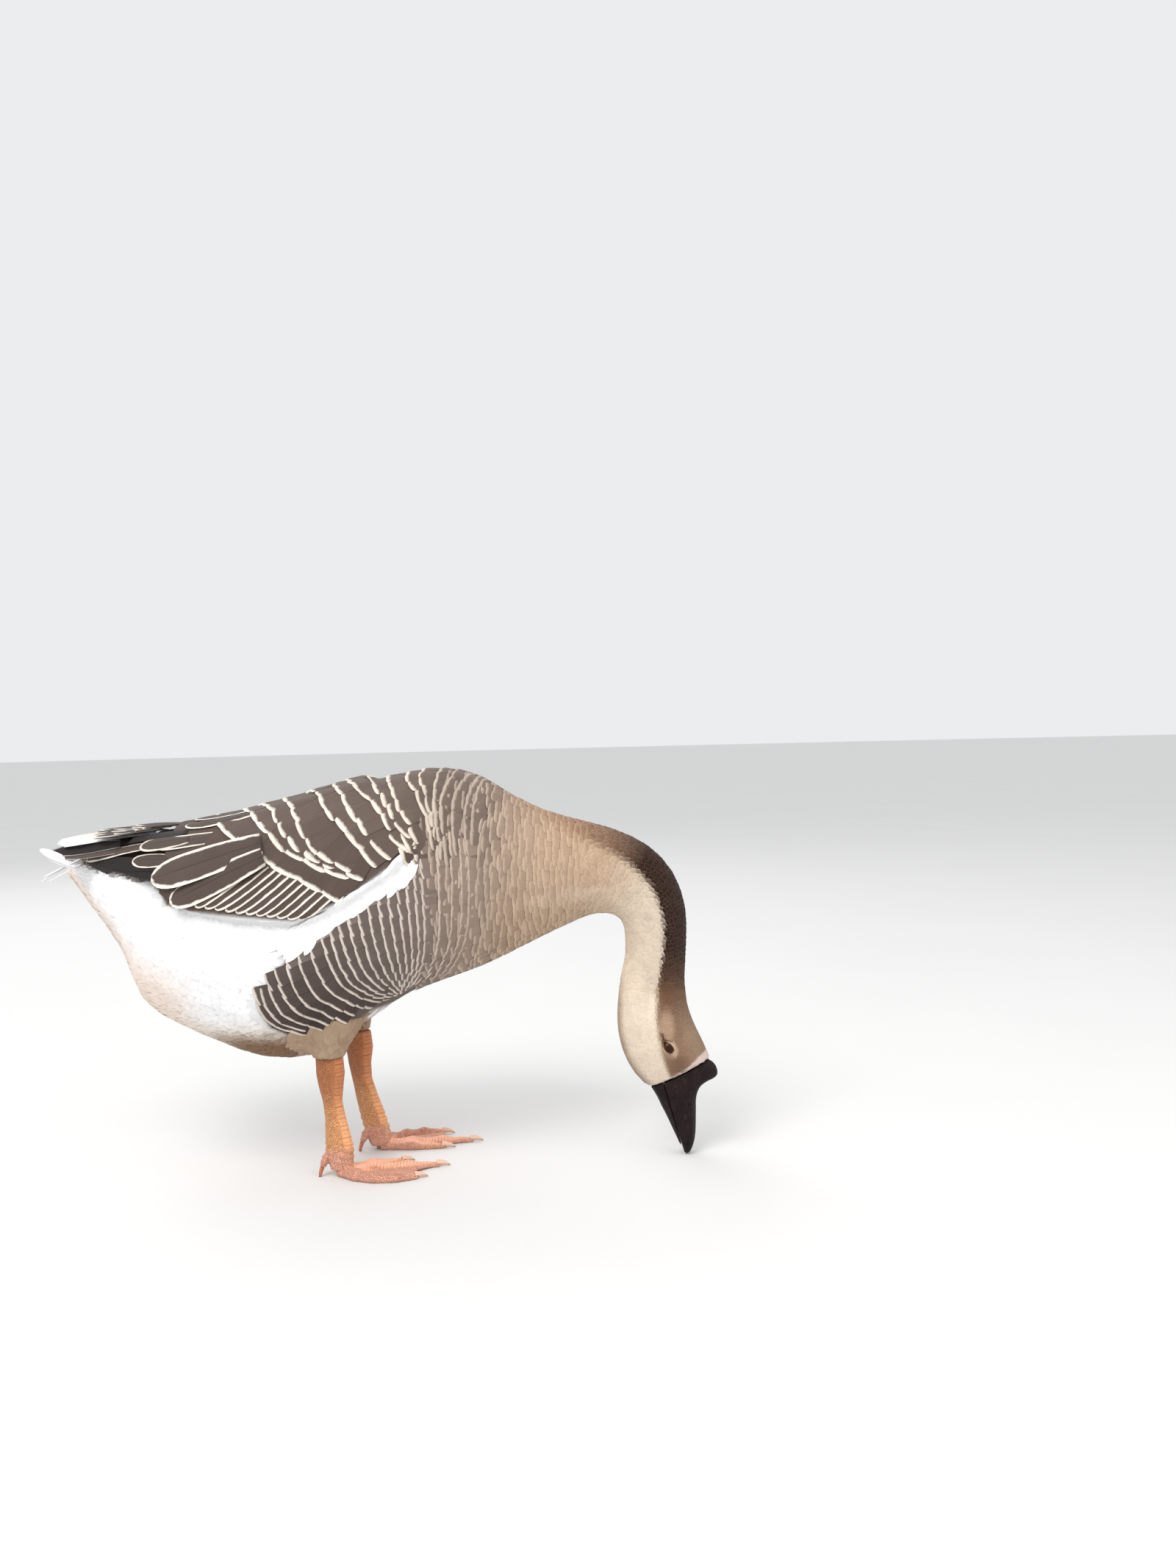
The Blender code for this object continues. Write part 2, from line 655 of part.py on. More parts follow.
def make_hind_toe(word, leg, shank, foot):
    """The small raised hind toe, and its claw that reaches the floor."""
    toe = hind_piece(f"hind_toe_{word}", leg, HIND_TOE, TOE_SIDES)
    combine(toe, grown(shank), "DIFFERENCE")
    combine(toe, grown(foot), "DIFFERENCE")
    claw = hind_piece(f"claw_hind_{word}", leg, HIND_CLAW, CLAW_SIDES)
    combine(claw, grown(toe), "DIFFERENCE")
    claw = kept_side(claw, claw.name, (0, 0, SOLE_LEVEL), (0, 0, -1))
    return {f"hind_toe_{word}": toe, f"claw_hind_{word}": claw}


def make_leg(word, leg, trunk):
    """Thigh, shank, foot, hind toe and claws of one leg."""
    level = Vector((0, 1, 0))
    thigh = on_side(leg.side, leg.thigh)
    thigh = limb_loft(f"thigh_{word}", thigh, LEG_SIDES + 2, level, RINGS_PER_SPAN)
    thigh = kept_side(thigh, thigh.name, (0, 0, leg.thigh_end), (0, 0, -1))
    combine(thigh, grown(trunk), "DIFFERENCE")
    line = limb_loft("line", on_side(leg.side, leg.shank), LEG_SIDES, level)
    line = kept_side(line, "line", (0, 0, leg.thigh_end - GAP), (0, 0, 1))
    names = (f"foot_{word}", f"shank_{word}")
    foot, shank = parted(line, names, (0, 0, ANKLE_TOP), (0, 0, 1))
    for toe in TOES:
        combine(foot, make_toe("toe", leg, toe), "UNION")
    combine(foot, plate("web", web_outline(leg), WEB_BOTTOM, WEB_THICKNESS), "UNION")
    foot = kept_side(foot, foot.name, (0, 0, SOLE_LEVEL), (0, 0, -1))
    pieces = {names[0]: foot, names[1]: shank, f"thigh_{word}": thigh}
    for toe in TOES:
        name = f"claw_{toe}_{word}"
        pieces[name] = make_claw(name, leg, toe, foot)
    return pieces | make_hind_toe(word, leg, shank, foot)


# ---- assembly ---------------------------------------------------------------


def finish_for(name):
    """The finish that a node of this name wears."""
    for start, finish in (
        ("trunk", "body_feathers"),
        ("neck", "neck_feathers"),
        ("head", "head_feathers"),
        ("wing", "wing_feathers"),
        ("primaries", "wing_feathers"),
        ("tail", "tail_feathers"),
        ("thigh", "thigh_feathers"),
        ("bill", "bill_horn"),
        ("eye", "eye"),
        ("claw", "claw_horn"),
    ):
        if name.startswith(start):
            return finish
    return "leg_skin"


def place_pieces(pieces, collection):
    """Dresses the pieces and hangs them on one empty over the origin."""
    for obj in set(bpy.data.objects) - set(pieces.values()):
        bpy.data.objects.remove(obj)
    middle = bpy.data.objects.new("goose_origin", None)
    collection.objects.link(middle)
    corners = []
    for name, piece in pieces.items():
        piece.name = name
        collection.objects.link(piece)
        piece.parent = middle
        piece.data.materials.clear()
        piece.data.materials.append(finish_named(finish_for(name)))
        piece.data.shade_smooth()
        piece.data.set_sharp_from_angle(angle=math.radians(45))
        corners += [vertex.co for vertex in piece.data.vertices]
    low = Vector(min(c[i] for c in corners) for i in range(3))
    high = Vector(max(c[i] for c in corners) for i in range(3))
    middle.location = (-(low.x + high.x) / 2, -(low.y + high.y) / 2, -low.z)


def main():
    goose = clear_scene()
    pieces = make_body()
    pieces |= make_eyes(pieces["head"])
    pieces |= make_bill()
    pieces["tail"] = make_tail()
    pieces |= make_wings(pieces["trunk"])
    combine(pieces["trunk"], grown(pieces["tail"]), "DIFFERENCE")
    for word, leg in LEGS.items():
        pieces |= make_leg(word, leg, pieces["trunk"])
    place_pieces(pieces, goose)


main()
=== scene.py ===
"""Dresses the domestic goose: skin, coat of feathers, bill, eyes, legs and studio.

The bird faces +X with its right side towards -Y. Sizes are in metres. One skin
lies under the coat, and every feather is a thin closed vane laid on the form of
the body, from the bill back to the tail.
"""

import logging
import math
import random
from collections.abc import Callable, Iterable
from dataclasses import dataclass
from enum import Enum

import bmesh
import bpy
import numpy as np
from mathutils import Matrix, Vector
from mathutils.bvhtree import BVHTree


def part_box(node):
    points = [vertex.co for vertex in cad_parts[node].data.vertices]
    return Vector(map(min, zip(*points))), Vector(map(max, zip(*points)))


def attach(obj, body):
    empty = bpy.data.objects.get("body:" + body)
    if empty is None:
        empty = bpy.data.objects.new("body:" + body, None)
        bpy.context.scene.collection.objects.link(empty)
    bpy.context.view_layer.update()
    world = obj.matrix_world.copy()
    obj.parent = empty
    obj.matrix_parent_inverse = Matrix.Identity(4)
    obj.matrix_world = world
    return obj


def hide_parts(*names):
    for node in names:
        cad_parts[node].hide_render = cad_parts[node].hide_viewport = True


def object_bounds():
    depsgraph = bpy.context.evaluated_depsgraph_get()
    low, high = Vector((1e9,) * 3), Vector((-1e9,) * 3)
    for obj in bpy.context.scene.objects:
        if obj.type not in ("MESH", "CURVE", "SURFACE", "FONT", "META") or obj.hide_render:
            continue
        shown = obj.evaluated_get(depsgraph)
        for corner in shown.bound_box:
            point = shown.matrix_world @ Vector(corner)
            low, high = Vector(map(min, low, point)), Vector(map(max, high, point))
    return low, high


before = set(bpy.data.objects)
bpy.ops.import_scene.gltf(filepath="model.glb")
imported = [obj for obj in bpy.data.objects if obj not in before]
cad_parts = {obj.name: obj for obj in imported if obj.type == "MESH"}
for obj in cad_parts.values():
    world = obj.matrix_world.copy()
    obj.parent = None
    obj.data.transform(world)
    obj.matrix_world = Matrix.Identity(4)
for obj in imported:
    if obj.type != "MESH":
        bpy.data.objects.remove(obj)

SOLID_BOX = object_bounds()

log = logging.getLogger("goose")

Colour = tuple[float, float, float]
Point = tuple[float, float, float]
Pair = tuple[float, float]
Sizes = tuple[float, float, float, float]
Spot = tuple[Vector, Vector]
Piece = bpy.types.Object
Mesh = bpy.types.Mesh
Material = bpy.types.Material
Socket = bpy.types.NodeSocket
Value = Socket | float

BODY = "root"
MILLIMETRE = 0.001
UP = Vector((0, 0, 1))
SMALL_PATCH = 0.003  # a small feather's side on the map for baking
EYE_ASIDE = 0.008  # nearer to the middle plane than this is no part of an eye


class Hue(tuple, Enum):
    """The colours of the bird in linear light, written as display values from 0 to 255."""

    def __new__(cls, shown: tuple[int, int, int]) -> "Hue":
        """Turns display values into linear light.

        Args:
            shown: Red, green and blue from 0 to 255.

        Returns:
            The same colour in linear light, from 0 to 1.
        """
        found = []
        for value in shown:
            share = value / 255
            found.append(share / 12.92 if share <= 0.04045 else ((share + 0.055) / 1.055) ** 2.4)
        made = tuple.__new__(cls, found)
        made._value_ = shown
        return made

    SLATE = (94, 80, 73)
    SLATE_DARK = (68, 57, 52)
    INK = (46, 40, 40)
    EDGE = (238, 228, 215)
    EDGE_DULL = (202, 186, 170)
    MANTLE = (106, 92, 83)
    BREAST = (147, 128, 114)
    BREAST_TIP = (184, 166, 150)
    BUFF = (184, 156, 130)
    BUFF_TIP = (206, 182, 156)
    CREAM = (240, 223, 201)
    FORENECK = (212, 196, 176)
    CHOCOLATE = (46, 24, 13)
    CHOCOLATE_LIGHT = (138, 98, 72)
    NAPE = (112, 81, 60)
    CROWN = (158, 131, 106)
    FACE = (146, 113, 87)
    LORES = (112, 81, 58)
    # painted shadow of the fold above the eye
    LID = (96, 62, 38)
    WHITE = (237, 237, 238)
    WHITE_SHADE = (220, 212, 200)
    # painted shade: the tan of the undersides of head and neck, and of the thigh tufts
    TAN = (146, 118, 93)
    # painted shade of the belly's underside
    BELLY = (124, 95, 70)
    # painted shade of the vent's rear edge
    VENT_PINK = (228, 206, 188)
    FLANK = (112, 100, 94)
    FLANK_DARK = (60, 49, 45)
    FLANK_TIP = (208, 196, 186)
    HORN = (16, 6, 6)
    ORANGE = (190, 120, 74)
    ORANGE_LIGHT = (238, 170, 116)
    FOOT = (246, 182, 150)
    FOOT_DEEP = (176, 102, 68)
    WEB = (240, 172, 148)
    CLAW = (228, 188, 164)
    CLAW_TIP = (110, 84, 66)
    FACE_GLOW = (206, 172, 144)
    EYE_RING = (222, 194, 164)
    BILL_EDGE = (236, 216, 206)
    BACK_TIP = (172, 156, 142)
    MANTLE_TIP = (176, 160, 146)
    IRIS_RIM = (52, 25, 10)
    IRIS = (92, 48, 22)
    PUPIL = (50, 23, 10)
    HORN_LIGHT = (38, 22, 21)
    LID_EDGE = (58, 36, 24)
    LID_PALE = (214, 186, 156)
    LID_CORNER = (150, 112, 84)


def mix(first: Colour, second: Colour, share: float) -> Colour:
    """Mixes two colours."""
    share = min(max(share, 0.0), 1.0)
    return tuple(a + (b - a) * share for a, b in zip(first, second))


def ramp(value: float, start: float, end: float) -> float:
    """Rises smoothly from 0 at start to 1 at end, and falls where end is lower."""
    share = min(max((value - start) / (end - start), 0.0), 1.0)
    return share * share * (3 - 2 * share)


def between(points: list[Vector], share: float) -> Vector:
    """A point of a smooth curve through guide points.

    Args:
        points: The guide points, in order.
        share: From 0 at the first to 1 at the last.

    Returns:
        The point at that share.
    """
    reach = min(max(share, 0.0), 1.0) * (len(points) - 1)
    i = min(int(reach), len(points) - 2)
    t = reach - i
    before, start = points[max(i - 1, 0)], points[i]
    end, after = points[i + 1], points[min(i + 2, len(points) - 1)]
    rise_in, rise_out = (end - before) * 0.5, (after - start) * 0.5
    square, cube = t * t, t**3
    return (start * (2 * cube - 3 * square + 1) + rise_in * (cube - 2 * square + t) + end *
        (3 * square - 2 * cube) + rise_out * (cube - square))


# ---- forms ----


def linked(name: str, data: bpy.types.ID) -> Piece:
    """Makes an object of some data and puts it in the scene.

    Args:
        name: The object's name.
        data: What it shows.

    Returns:
        The object.
    """
    obj = bpy.data.objects.new(name, data)
    bpy.context.scene.collection.objects.link(obj)
    return obj


def paint(mesh: Mesh, word: str, rows: Iterable) -> None:
    """Gives every point of a mesh a colour and a fourth number, as an attribute."""
    layer = mesh.attributes.new(word, "FLOAT_COLOR", "POINT")
    layer.data.foreach_set("color", np.array(rows, np.float32).ravel())


def move(mesh: Mesh, places: Iterable[Point]) -> None:
    """Moves every point of a mesh."""
    mesh.vertices.foreach_set("co", np.array(places, np.float32).ravel())
    mesh.update()


def flat(x: float, z: float) -> Vector:
    """A point of the bird's middle plane."""
    return Vector((x, 0, z))


def reaches(line: list[Vector]) -> list[float]:
    """How far along a line each of its points lies.

    Args:
        line: The points, in order.

    Returns:
        A distance for each point, from 0 on.
    """
    found = [0.0]
    for first, second in zip(line, line[1:]):
        found.append(found[-1] + (second - first).length)
    return found


def laid(heading: Vector, normal: Vector) -> Vector:
    """A heading turned to lie along a surface."""
    return (heading - normal * heading.dot(normal)).normalized()


def before_bill(place: Vector) -> float:
    """How far a place lies in front of the line where the bill starts; minus is behind."""
    return (place.x - 0.2990) * 0.416 - (place.z - 0.0853) * 0.9094


def joined_copy(name: str, nodes: Iterable[str]) -> Piece:
    """Joins copies of CAD nodes into one new object.

    Args:
        name: The new object's name.
        nodes: The nodes to copy.

    Returns:
        The object, with doubled points merged.
    """
    model = bmesh.new()
    for node in nodes:
        part = bmesh.new()
        part.from_mesh(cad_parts[node].data)
        bmesh.ops.remove_doubles(part, verts=part.verts, dist=1e-6)
        bmesh.ops.recalc_face_normals(part, faces=part.faces)
        merged = bpy.data.meshes.new("part")
        part.to_mesh(merged)
        part.free()
        model.from_mesh(merged)
        bpy.data.meshes.remove(merged)
    made = bpy.data.meshes.new(name)
    model.to_mesh(made)
    model.free()
    return linked(name, made)


def active_only(obj: Piece) -> None:
    """Selects the object alone and makes it active.

    Args:
        obj: The object.
    """
    for other in bpy.context.selected_objects:
        other.select_set(False)
    obj.select_set(True)
    bpy.context.view_layer.objects.active = obj


def apply_modifier(obj: Piece, kind: str, **settings: object) -> None:
    """Adds a modifier and applies it.

    Args:
        obj: The mesh object.
        kind: Blender's word for the modifier.
        settings: The modifier's settings by name.
    """
    active_only(obj)
    modifier = obj.modifiers.new(kind.lower(), kind)
    for word, value in settings.items():
        setattr(modifier, word, value)
    bpy.ops.object.modifier_apply(modifier=modifier.name)


def remeshed(obj: Piece, voxel: float, smooth: int, factor: float = 0.5) -> None:
    """Turns an object into one closed even mesh.

    Args:
        obj: The object, of closed parts that touch.
        voxel: The size of the mesh's faces.
        smooth: How many smoothing steps follow.
        factor: How strong each step is.
    """
    apply_modifier(obj, "REMESH", mode="VOXEL", voxel_size=voxel, use_smooth_shade=True)
    if smooth:
        apply_modifier(obj, "SMOOTH", factor=factor, iterations=smooth)


class Form:
    """A smooth closed shape that feathers are laid on."""

    def __init__(self, obj: Piece) -> None:
        """Reads the shape of a mesh object.

        Args:
            obj: The mesh object.
        """
        mesh = obj.data
        self.places = [v.co.copy() for v in mesh.vertices]
        self.normals = [v.normal.copy() for v in mesh.vertices]
        self.faces = [tuple(p.vertices) for p in mesh.polygons]
        self.tree = BVHTree.FromPolygons(self.places, self.faces)

    def smooth_normal(self, place: Vector, face: int) -> Vector:
        """The normal at a place, blended from the face's corners.

        Args:
            place: A place on the face.
            face: The face's number.

        Returns:
            The normal, of length 1.
        """
        total = Vector()
        for corner in self.faces[face]:
            gap = (self.places[corner] - place).length + 1e-5
            total += self.normals[corner] / gap
        return total.normalized()

    def nearest(self, place: Vector) -> Spot:
        """The nearest place on the form, and the normal there."""
        found, _, face, _ = self.tree.find_nearest(place)
        return found, self.smooth_normal(found, face)

    def cast(self, start: Vector, way: Vector) -> Spot | None:
        """The first place met from a start along a way, and the normal there."""
        found, _, face, _ = self.tree.ray_cast(start, way)
        return None if found is None else (found, self.smooth_normal(found, face))

    def march(self, spot: Spot, heading: Vector, reach: float, steps: int) -> tuple[Spot, Vector]:
        """Walks over the form.

        Args:
            spot: Where the walk starts.
            heading: The way to go.
            reach: How far.
            steps: In how many steps.

        Returns:
            The spot at the end, and the heading there.
        """
        place, normal = spot
        for _ in range(steps):
            heading = laid(heading, normal)
            place, normal = self.nearest(place + heading * (reach / steps))
        return (place, normal), laid(heading, normal)


class Plane:
    """A flat place to lay a free feather on."""

    def __init__(self, middle: Vector, normal: Vector) -> None:
        """Keeps a point of the plane and its normal."""
        self.middle, self.normal = middle, normal.normalized()

    def nearest(self, place: Vector) -> Spot:
        """The nearest place on the plane, and its normal."""
        return place - self.normal * (place - self.middle).dot(self.normal), self.normal


class Lay:
    """The lie of the coat: a line through the bird, from vent to bill."""

    STATIONS = {  # a point on the back and one on the belly, x and z
        "vent_tip": ((-0.3164, 0.3480), (-0.3354, 0.3120)),
        "vent": ((-0.2524, 0.3520), (-0.2704, 0.2240)),
        "abdomen": ((-0.1834, 0.3585), (-0.2144, 0.1510)),
        "paunch": ((-0.1134, 0.3740), (-0.1284, 0.1160)),
        "hips": ((-0.0664, 0.3875), (-0.0744, 0.1170)),
        "keel": ((-0.0184, 0.4010), (-0.0244, 0.1490)),
        "breast": ((0.0276, 0.4110), (0.0236, 0.1780)),
        "shoulders": ((0.0656, 0.4140), (0.0656, 0.1930)),
        "crop": ((0.1016, 0.4040), (0.1006, 0.2050)),
        "neck_root": ((0.1336, 0.3840), (0.1316, 0.2190)),
        "low_neck": ((0.1676, 0.3670), (0.1606, 0.2330)),
        "fore_neck": ((0.2026, 0.3560), (0.1896, 0.2460)),
        "bend_start": ((0.2386, 0.3455), (0.2156, 0.2555)),
        "bend": ((0.2746, 0.3270), (0.2366, 0.2540)),
        "bend_over": ((0.3001, 0.2980), (0.2456, 0.2440)),
        "bend_end": ((0.3121, 0.2620), (0.2471, 0.2290)),
        "upper_neck": ((0.3126, 0.2260), (0.2466, 0.2110)),
        "throat_top": ((0.3101, 0.1900), (0.2416, 0.1900)),
        "nape": ((0.3111, 0.1630), (0.2384, 0.1650)),
        "cheeks": ((0.3166, 0.1430), (0.2371, 0.1390)),
        "brow": ((0.3246, 0.1250), (0.2416, 0.1120)),
        "lores": ((0.3321, 0.1080), (0.2536, 0.0870)),
        "bill_root": ((0.3371, 0.0980), (0.2696, 0.0700)),
    }
    FINENESS = 16  # points from one station to the next
    RING_SAMPLES = 72
    NO_HIT = 0.03  # the radius taken where a ray meets nothing

    def __init__(self) -> None:
        """Spaces the line's points evenly between the stations."""
        backs, bellies = ([flat(*spot) for spot in line] for line in zip(*self.STATIONS.values()))
        count = self.FINENESS * (len(backs) - 1)
        self.middles, self.ups = [], []
        for i in range(count + 1):
            back, belly = between(backs, i / count), between(bellies, i / count)
            self.middles.append((back + belly) / 2)
            self.ups.append((back - belly).normalized())
        self.marks = reaches(self.middles)
        self.grid = np.array([tuple(m) for m in self.middles])

    def at(self, name: str) -> float:
        """The distance along the line of a named station."""
        return self.marks[list(self.STATIONS).index(name) * self.FINENESS]

    def frame_at(self, mark: float) -> tuple[Vector, Vector, Vector]:
        """The line at a distance from the vent.

        Args:
            mark: The distance along the line.

        Returns:
            The middle, the way to the back, and the way towards the tail.
        """
        i = int(np.searchsorted(self.marks, mark)) - 1
        i = min(max(i, 0), len(self.marks) - 2)
        share = (mark - self.marks[i]) / (self.marks[i + 1] - self.marks[i])
        middle = self.middles[i].lerp(self.middles[i + 1], share)
        back = self.ups[i].lerp(self.ups[i + 1], share).normalized()
        first, last = max(i - 4, 0), min(i + 5, len(self.middles) - 1)
        return middle, back, (self.middles[first] - self.middles[last]).normalized()

    def locate(self, place: Vector) -> Pair:
        """Finds a place of the skin on the line.

        Args:
            place: The place.

        Returns:
            The distance along the line, and the angle from the back, from 0 to pi.
        """
        i = int(((self.grid - np.array(place)) ** 2).sum(1).argmin())
        way = place - self.middles[i]
        angle = math.atan2(abs(way.y), way.dot(self.ups[i]))
        return self.marks[i], angle

    def ring(self, form: Form, mark: float, spacing: float, shift: float) -> list[tuple[Spot, float]]:
        """Evenly spaced spots round the form at a distance along the line.

        Args:
            form: The form to find them on.
            mark: The distance along the line.
            spacing: The distance between spots.
            shift: Where the first spot lies, in spacings.

        Returns:
            Each spot with its angle from the back, minus on the left side.
        """
        middle, back, _ = self.frame_at(mark)
        across = Vector((0, -1, 0))
        samples, count = [], self.RING_SAMPLES
        for i in range(count + 1):
            angle = -math.pi + math.tau * i / count
            way = back * math.cos(angle) + across * math.sin(angle)
            hit = form.cast(middle, way)
            samples.append(hit[0] if hit else middle + way * self.NO_HIT)
        lengths = reaches(samples)
        total = max(round(lengths[-1] / spacing), 6)
        found = []
        for k in range(total):
            reach = ((k + shift) / total % 1.0) * lengths[-1]
            i = min(int(np.searchsorted(lengths, reach, side="right")) - 1, count - 1)
            share = (reach - lengths[i]) / max(lengths[i + 1] - lengths[i], 1e-9)
            angle = -math.pi + math.tau * (i + share) / count
            way = back * math.cos(angle) + across * math.sin(angle)
            hit = form.cast(middle, way)
            if hit:
                found.append((hit, angle))
        return found


# ---- feathers ----


@dataclass(frozen=True)
class Cut:
    """How a vane is cut: its mesh and outline.

    Attributes:
        stations: Rows of points from root to tip.
        columns: Points across, odd.
        tip: How round the tip is, from 0 for a point to 1 for a blunt end.
        square: The power of the round tip; more is squarer.
        base: Width at the root, as a share of the widest.
        belly: Where along the vane it is widest.
        crown: How far the middle stands over the edges, in half widths.
        thick: How thick the vane is at its shaft.
        droop: The power with which it rises from root to tip.
        gather: How closely the points gather near the tip; 1 is evenly.
        barred: Whether its fringe is a bar across the tip, with none down the sides.
    """

    stations: int = 5
    columns: int = 3
    tip: float = 0.6
    square: float = 2.6
    base: float = 0.5
    belly: float = 0.6
    crown: float = 0.18
    thick: float = 0.0005
    droop: float = 0.8
    gather: float = 1.6
    barred: bool = False

    def shares(self) -> list[float]:
        """Where its rows of points lie along it, closer together near the tip."""
        steps = self.stations - 1
        return [1 - (1 - i / steps) ** self.gather for i in range(steps + 1)]

    def half_width(self, share: float) -> float:
        """The vane's half width at a share of its length, at most 1.

        Args:
            share: From 0 at the root to 1 at the tip.

        Returns:
            The half width, as a share of the most.
        """
        if share <= self.belly:
            return self.base + (1 - self.base) * math.sin(math.pi / 2 * share / self.belly)
        over = (share - self.belly) / (1 - self.belly)
        blunt = math.sqrt(max(1 - over**self.square, 0.0))
        pointed = 1 - over**1.3
        return pointed + (blunt - pointed) * self.tip


@dataclass(frozen=True)
class Look:
    """The marking of one feather.

    Attributes:
        ground: The colour of its middle.
        edge: The colour of its fringe.
        rim: Width of the fringe at the sides, in half widths.
        tip: Width of the fringe at the tip, in half widths.
        down: How soft and open the vane is, from 0 to 1.
    """

    ground: Colour
    edge: Colour
    rim: float = 0.0
    tip: float = 0.0
    down: float = 0.0


class Bed:
    """Gathers many vanes and makes one piece of them."""

    NARROW = 0.0008  # a vane with half widths under this isn't bent round the form
    THINNING = 0.6  # how much thinner a vane is at its edges than at its shaft
    CELL_MARGIN = 0.08  # the gap round a vane in its cell, as a share of the cell

    def __init__(self, name: str, cut: Cut, patch: float | None = None, seed: int = 1) -> None:
        """Starts an empty bed.

        Args:
            name: The piece's name.
            cut: The cut of all its vanes.
            patch: The size of each vane's patch at its root's place on the unwrap,
                or None for larger patches, kept apart in the order of the roots.
            seed: The seed of its random draws.
        """
        self.name, self.cut, self.patch = name, cut, patch
        self.draw = random.Random(seed)
        self.points: list[Point] = []
        self.looks: list[Look] = []
        self.shapes: list[float] = []
        self.homes: list[Pair] = []
        self.chances: list[float] = []

    def lay(self, form: Form | Plane, spot: Spot, heading: Vector, size: Pair, rise: Pair, look: Look,
            home: Pair = (0.5, 0.5), roll: float = 0.0) -> None:
        """Lays one vane on a form.

        Args:
            form: The form to lie on.
            spot: Its root and the normal there.
            heading: The way it points.
            size: Its length and width.
            rise: How high root and tip lie over the form.
            look: Its marking.
            home: Its root's place on the unwrap of the skin.
            roll: How much one edge is raised, in half widths; plus raises the edge
                on the left of the heading.
        """
        cut = self.cut
        place, normal = spot
        steps, shares = cut.stations - 1, cut.shares()
        middle = cut.columns // 2
        tops, under = [], []
        for i, share in enumerate(shares):
            heading = laid(heading, normal)
            left = normal.cross(heading)
            height = rise[0] + (rise[1] - rise[0]) * share**cut.droop
            half = size[1] / 2 * cut.half_width(share)
            last = i == steps
            for c in range(cut.columns):
                if last and c != middle:
                    continue
                across = c / middle - 1
                if across == 0 or half < self.NARROW:
                    base, out = place + left * (across * half), normal
                else:
                    base, out = form.nearest(place + left * (across * half))
                lift = height + (cut.crown * (1 - across * across) + roll * across) * half
                top = base + out * lift
                tops.append(tuple(top))
                if 0 < c < cut.columns - 1 and not last:
                    under.append(tuple(top - out * (cut.thick * (1 - self.THINNING * abs(across)))))
            if not last:
                place, normal = form.nearest(place + heading * (size[0] * (shares[i + 1] - share)))
        self.points += tops + under
        self.looks.append(look)
        self.shapes.append(round(size[0] / size[1], 1))
        self.homes.append(home)
        self.chances.append(self.draw.random())

    def faces(self) -> tuple[list[tuple[int, ...]], list[Pair]]:
        """The faces of one vane, and each of its points' place across and along.

        Returns:
            The faces by their points' numbers, and the places from 0 to 1.
        """
        cut = self.cut
        rows, columns = cut.stations - 1, cut.columns
        tip = rows * columns
        inner = columns - 2
        first_under = tip + 1
        along = cut.shares()[:-1]
        places = [(c / (columns - 1), share) for share in along for c in range(columns)]
        places.append((0.5, 1.0))
        places += [(c / (columns - 1), share) for share in along for c in range(1, columns - 1)]

        def top(i: int, c: int) -> int:
            """The number of a point of the upper side."""
            return tip if i == rows else i * columns + c

        def under(i: int, c: int) -> int:
            """The number of a point of the lower side, which shares the upper side's edge.

            Args:
                i: The row of points.
                c: The point's place in the row.

            Returns:
                The number.
            """
            if i == rows:
                return tip
            return top(i, c) if c in (0, columns - 1) else first_under + i * inner + c - 1

        found = []
        for i in range(rows):
            for c in range(columns - 1):
                for at, outer in ((top, True), (under, False)):
                    face = (at(i, c), at(i, c + 1), at(i + 1, c + 1), at(i + 1, c))
                    corners = list(dict.fromkeys(face))
                    found.append(tuple(reversed(corners) if outer else corners))
        root = [top(0, c) for c in range(columns)]
        root += [under(0, c) for c in range(columns - 2, 0, -1)]
        found.append(tuple(root))
        return found, places

    def piece(self, material: Material) -> Piece:
        """Makes the object of all the vanes.

        Args:
            material: What it wears.

        Returns:
            The linked object.
        """
        faces, places = self.faces()
        count, size = len(self.looks), len(places)
        corners = np.concatenate([np.array(f) for f in faces])
        totals = np.array([len(f) for f in faces])
        loops = (corners[None, :] + np.arange(count)[:, None] * size).ravel()
        mesh = bpy.data.meshes.new(self.name)
        mesh.vertices.add(count * size)
        low, high = (np.array(corner, np.float32) for corner in SOLID_BOX)
        points = np.clip(np.array(self.points, np.float32), low, high)
        mesh.vertices.foreach_set("co", points.ravel())
        mesh.loops.add(len(loops))
        mesh.loops.foreach_set("vertex_index", loops.astype(np.int32))
        mesh.polygons.add(count * len(faces))
        starts = np.concatenate([[0], np.cumsum(np.tile(totals, count))[:-1]])
        mesh.polygons.foreach_set("loop_start", starts.astype(np.int32))
        mesh.polygons.foreach_set("use_smooth", np.ones(count * len(faces), bool))
        self.colour(mesh, size)
        self.unwrap(mesh, corners, np.array(places), count)
        mesh.update(calc_edges=True)
        mesh.validate()
        self.sharpen(mesh, size)
        mesh.materials.append(material)
        return linked(self.name, mesh)

    def sharpen(self, mesh: Mesh, size: int) -> None:
        """Marks the outline of every vane as sharp, so that its top stays evenly lit.

        Args:
            mesh: The mesh.
            size: The points in one vane.
        """
        rows, columns = self.cut.stations - 1, self.cut.columns
        outline = np.zeros(size, bool)
        outline[[i * columns + c for i in range(rows) for c in (0, columns - 1)]] = True
        outline[rows * columns] = True
        ends = np.empty(len(mesh.edges) * 2, np.int32)
        mesh.edges.foreach_get("vertices", ends)
        sharp = outline[ends.reshape(-1, 2) % size].all(axis=1)
        layer = mesh.attributes.new("sharp_edge", "BOOLEAN", "EDGE")
        layer.data.foreach_set("value", sharp)

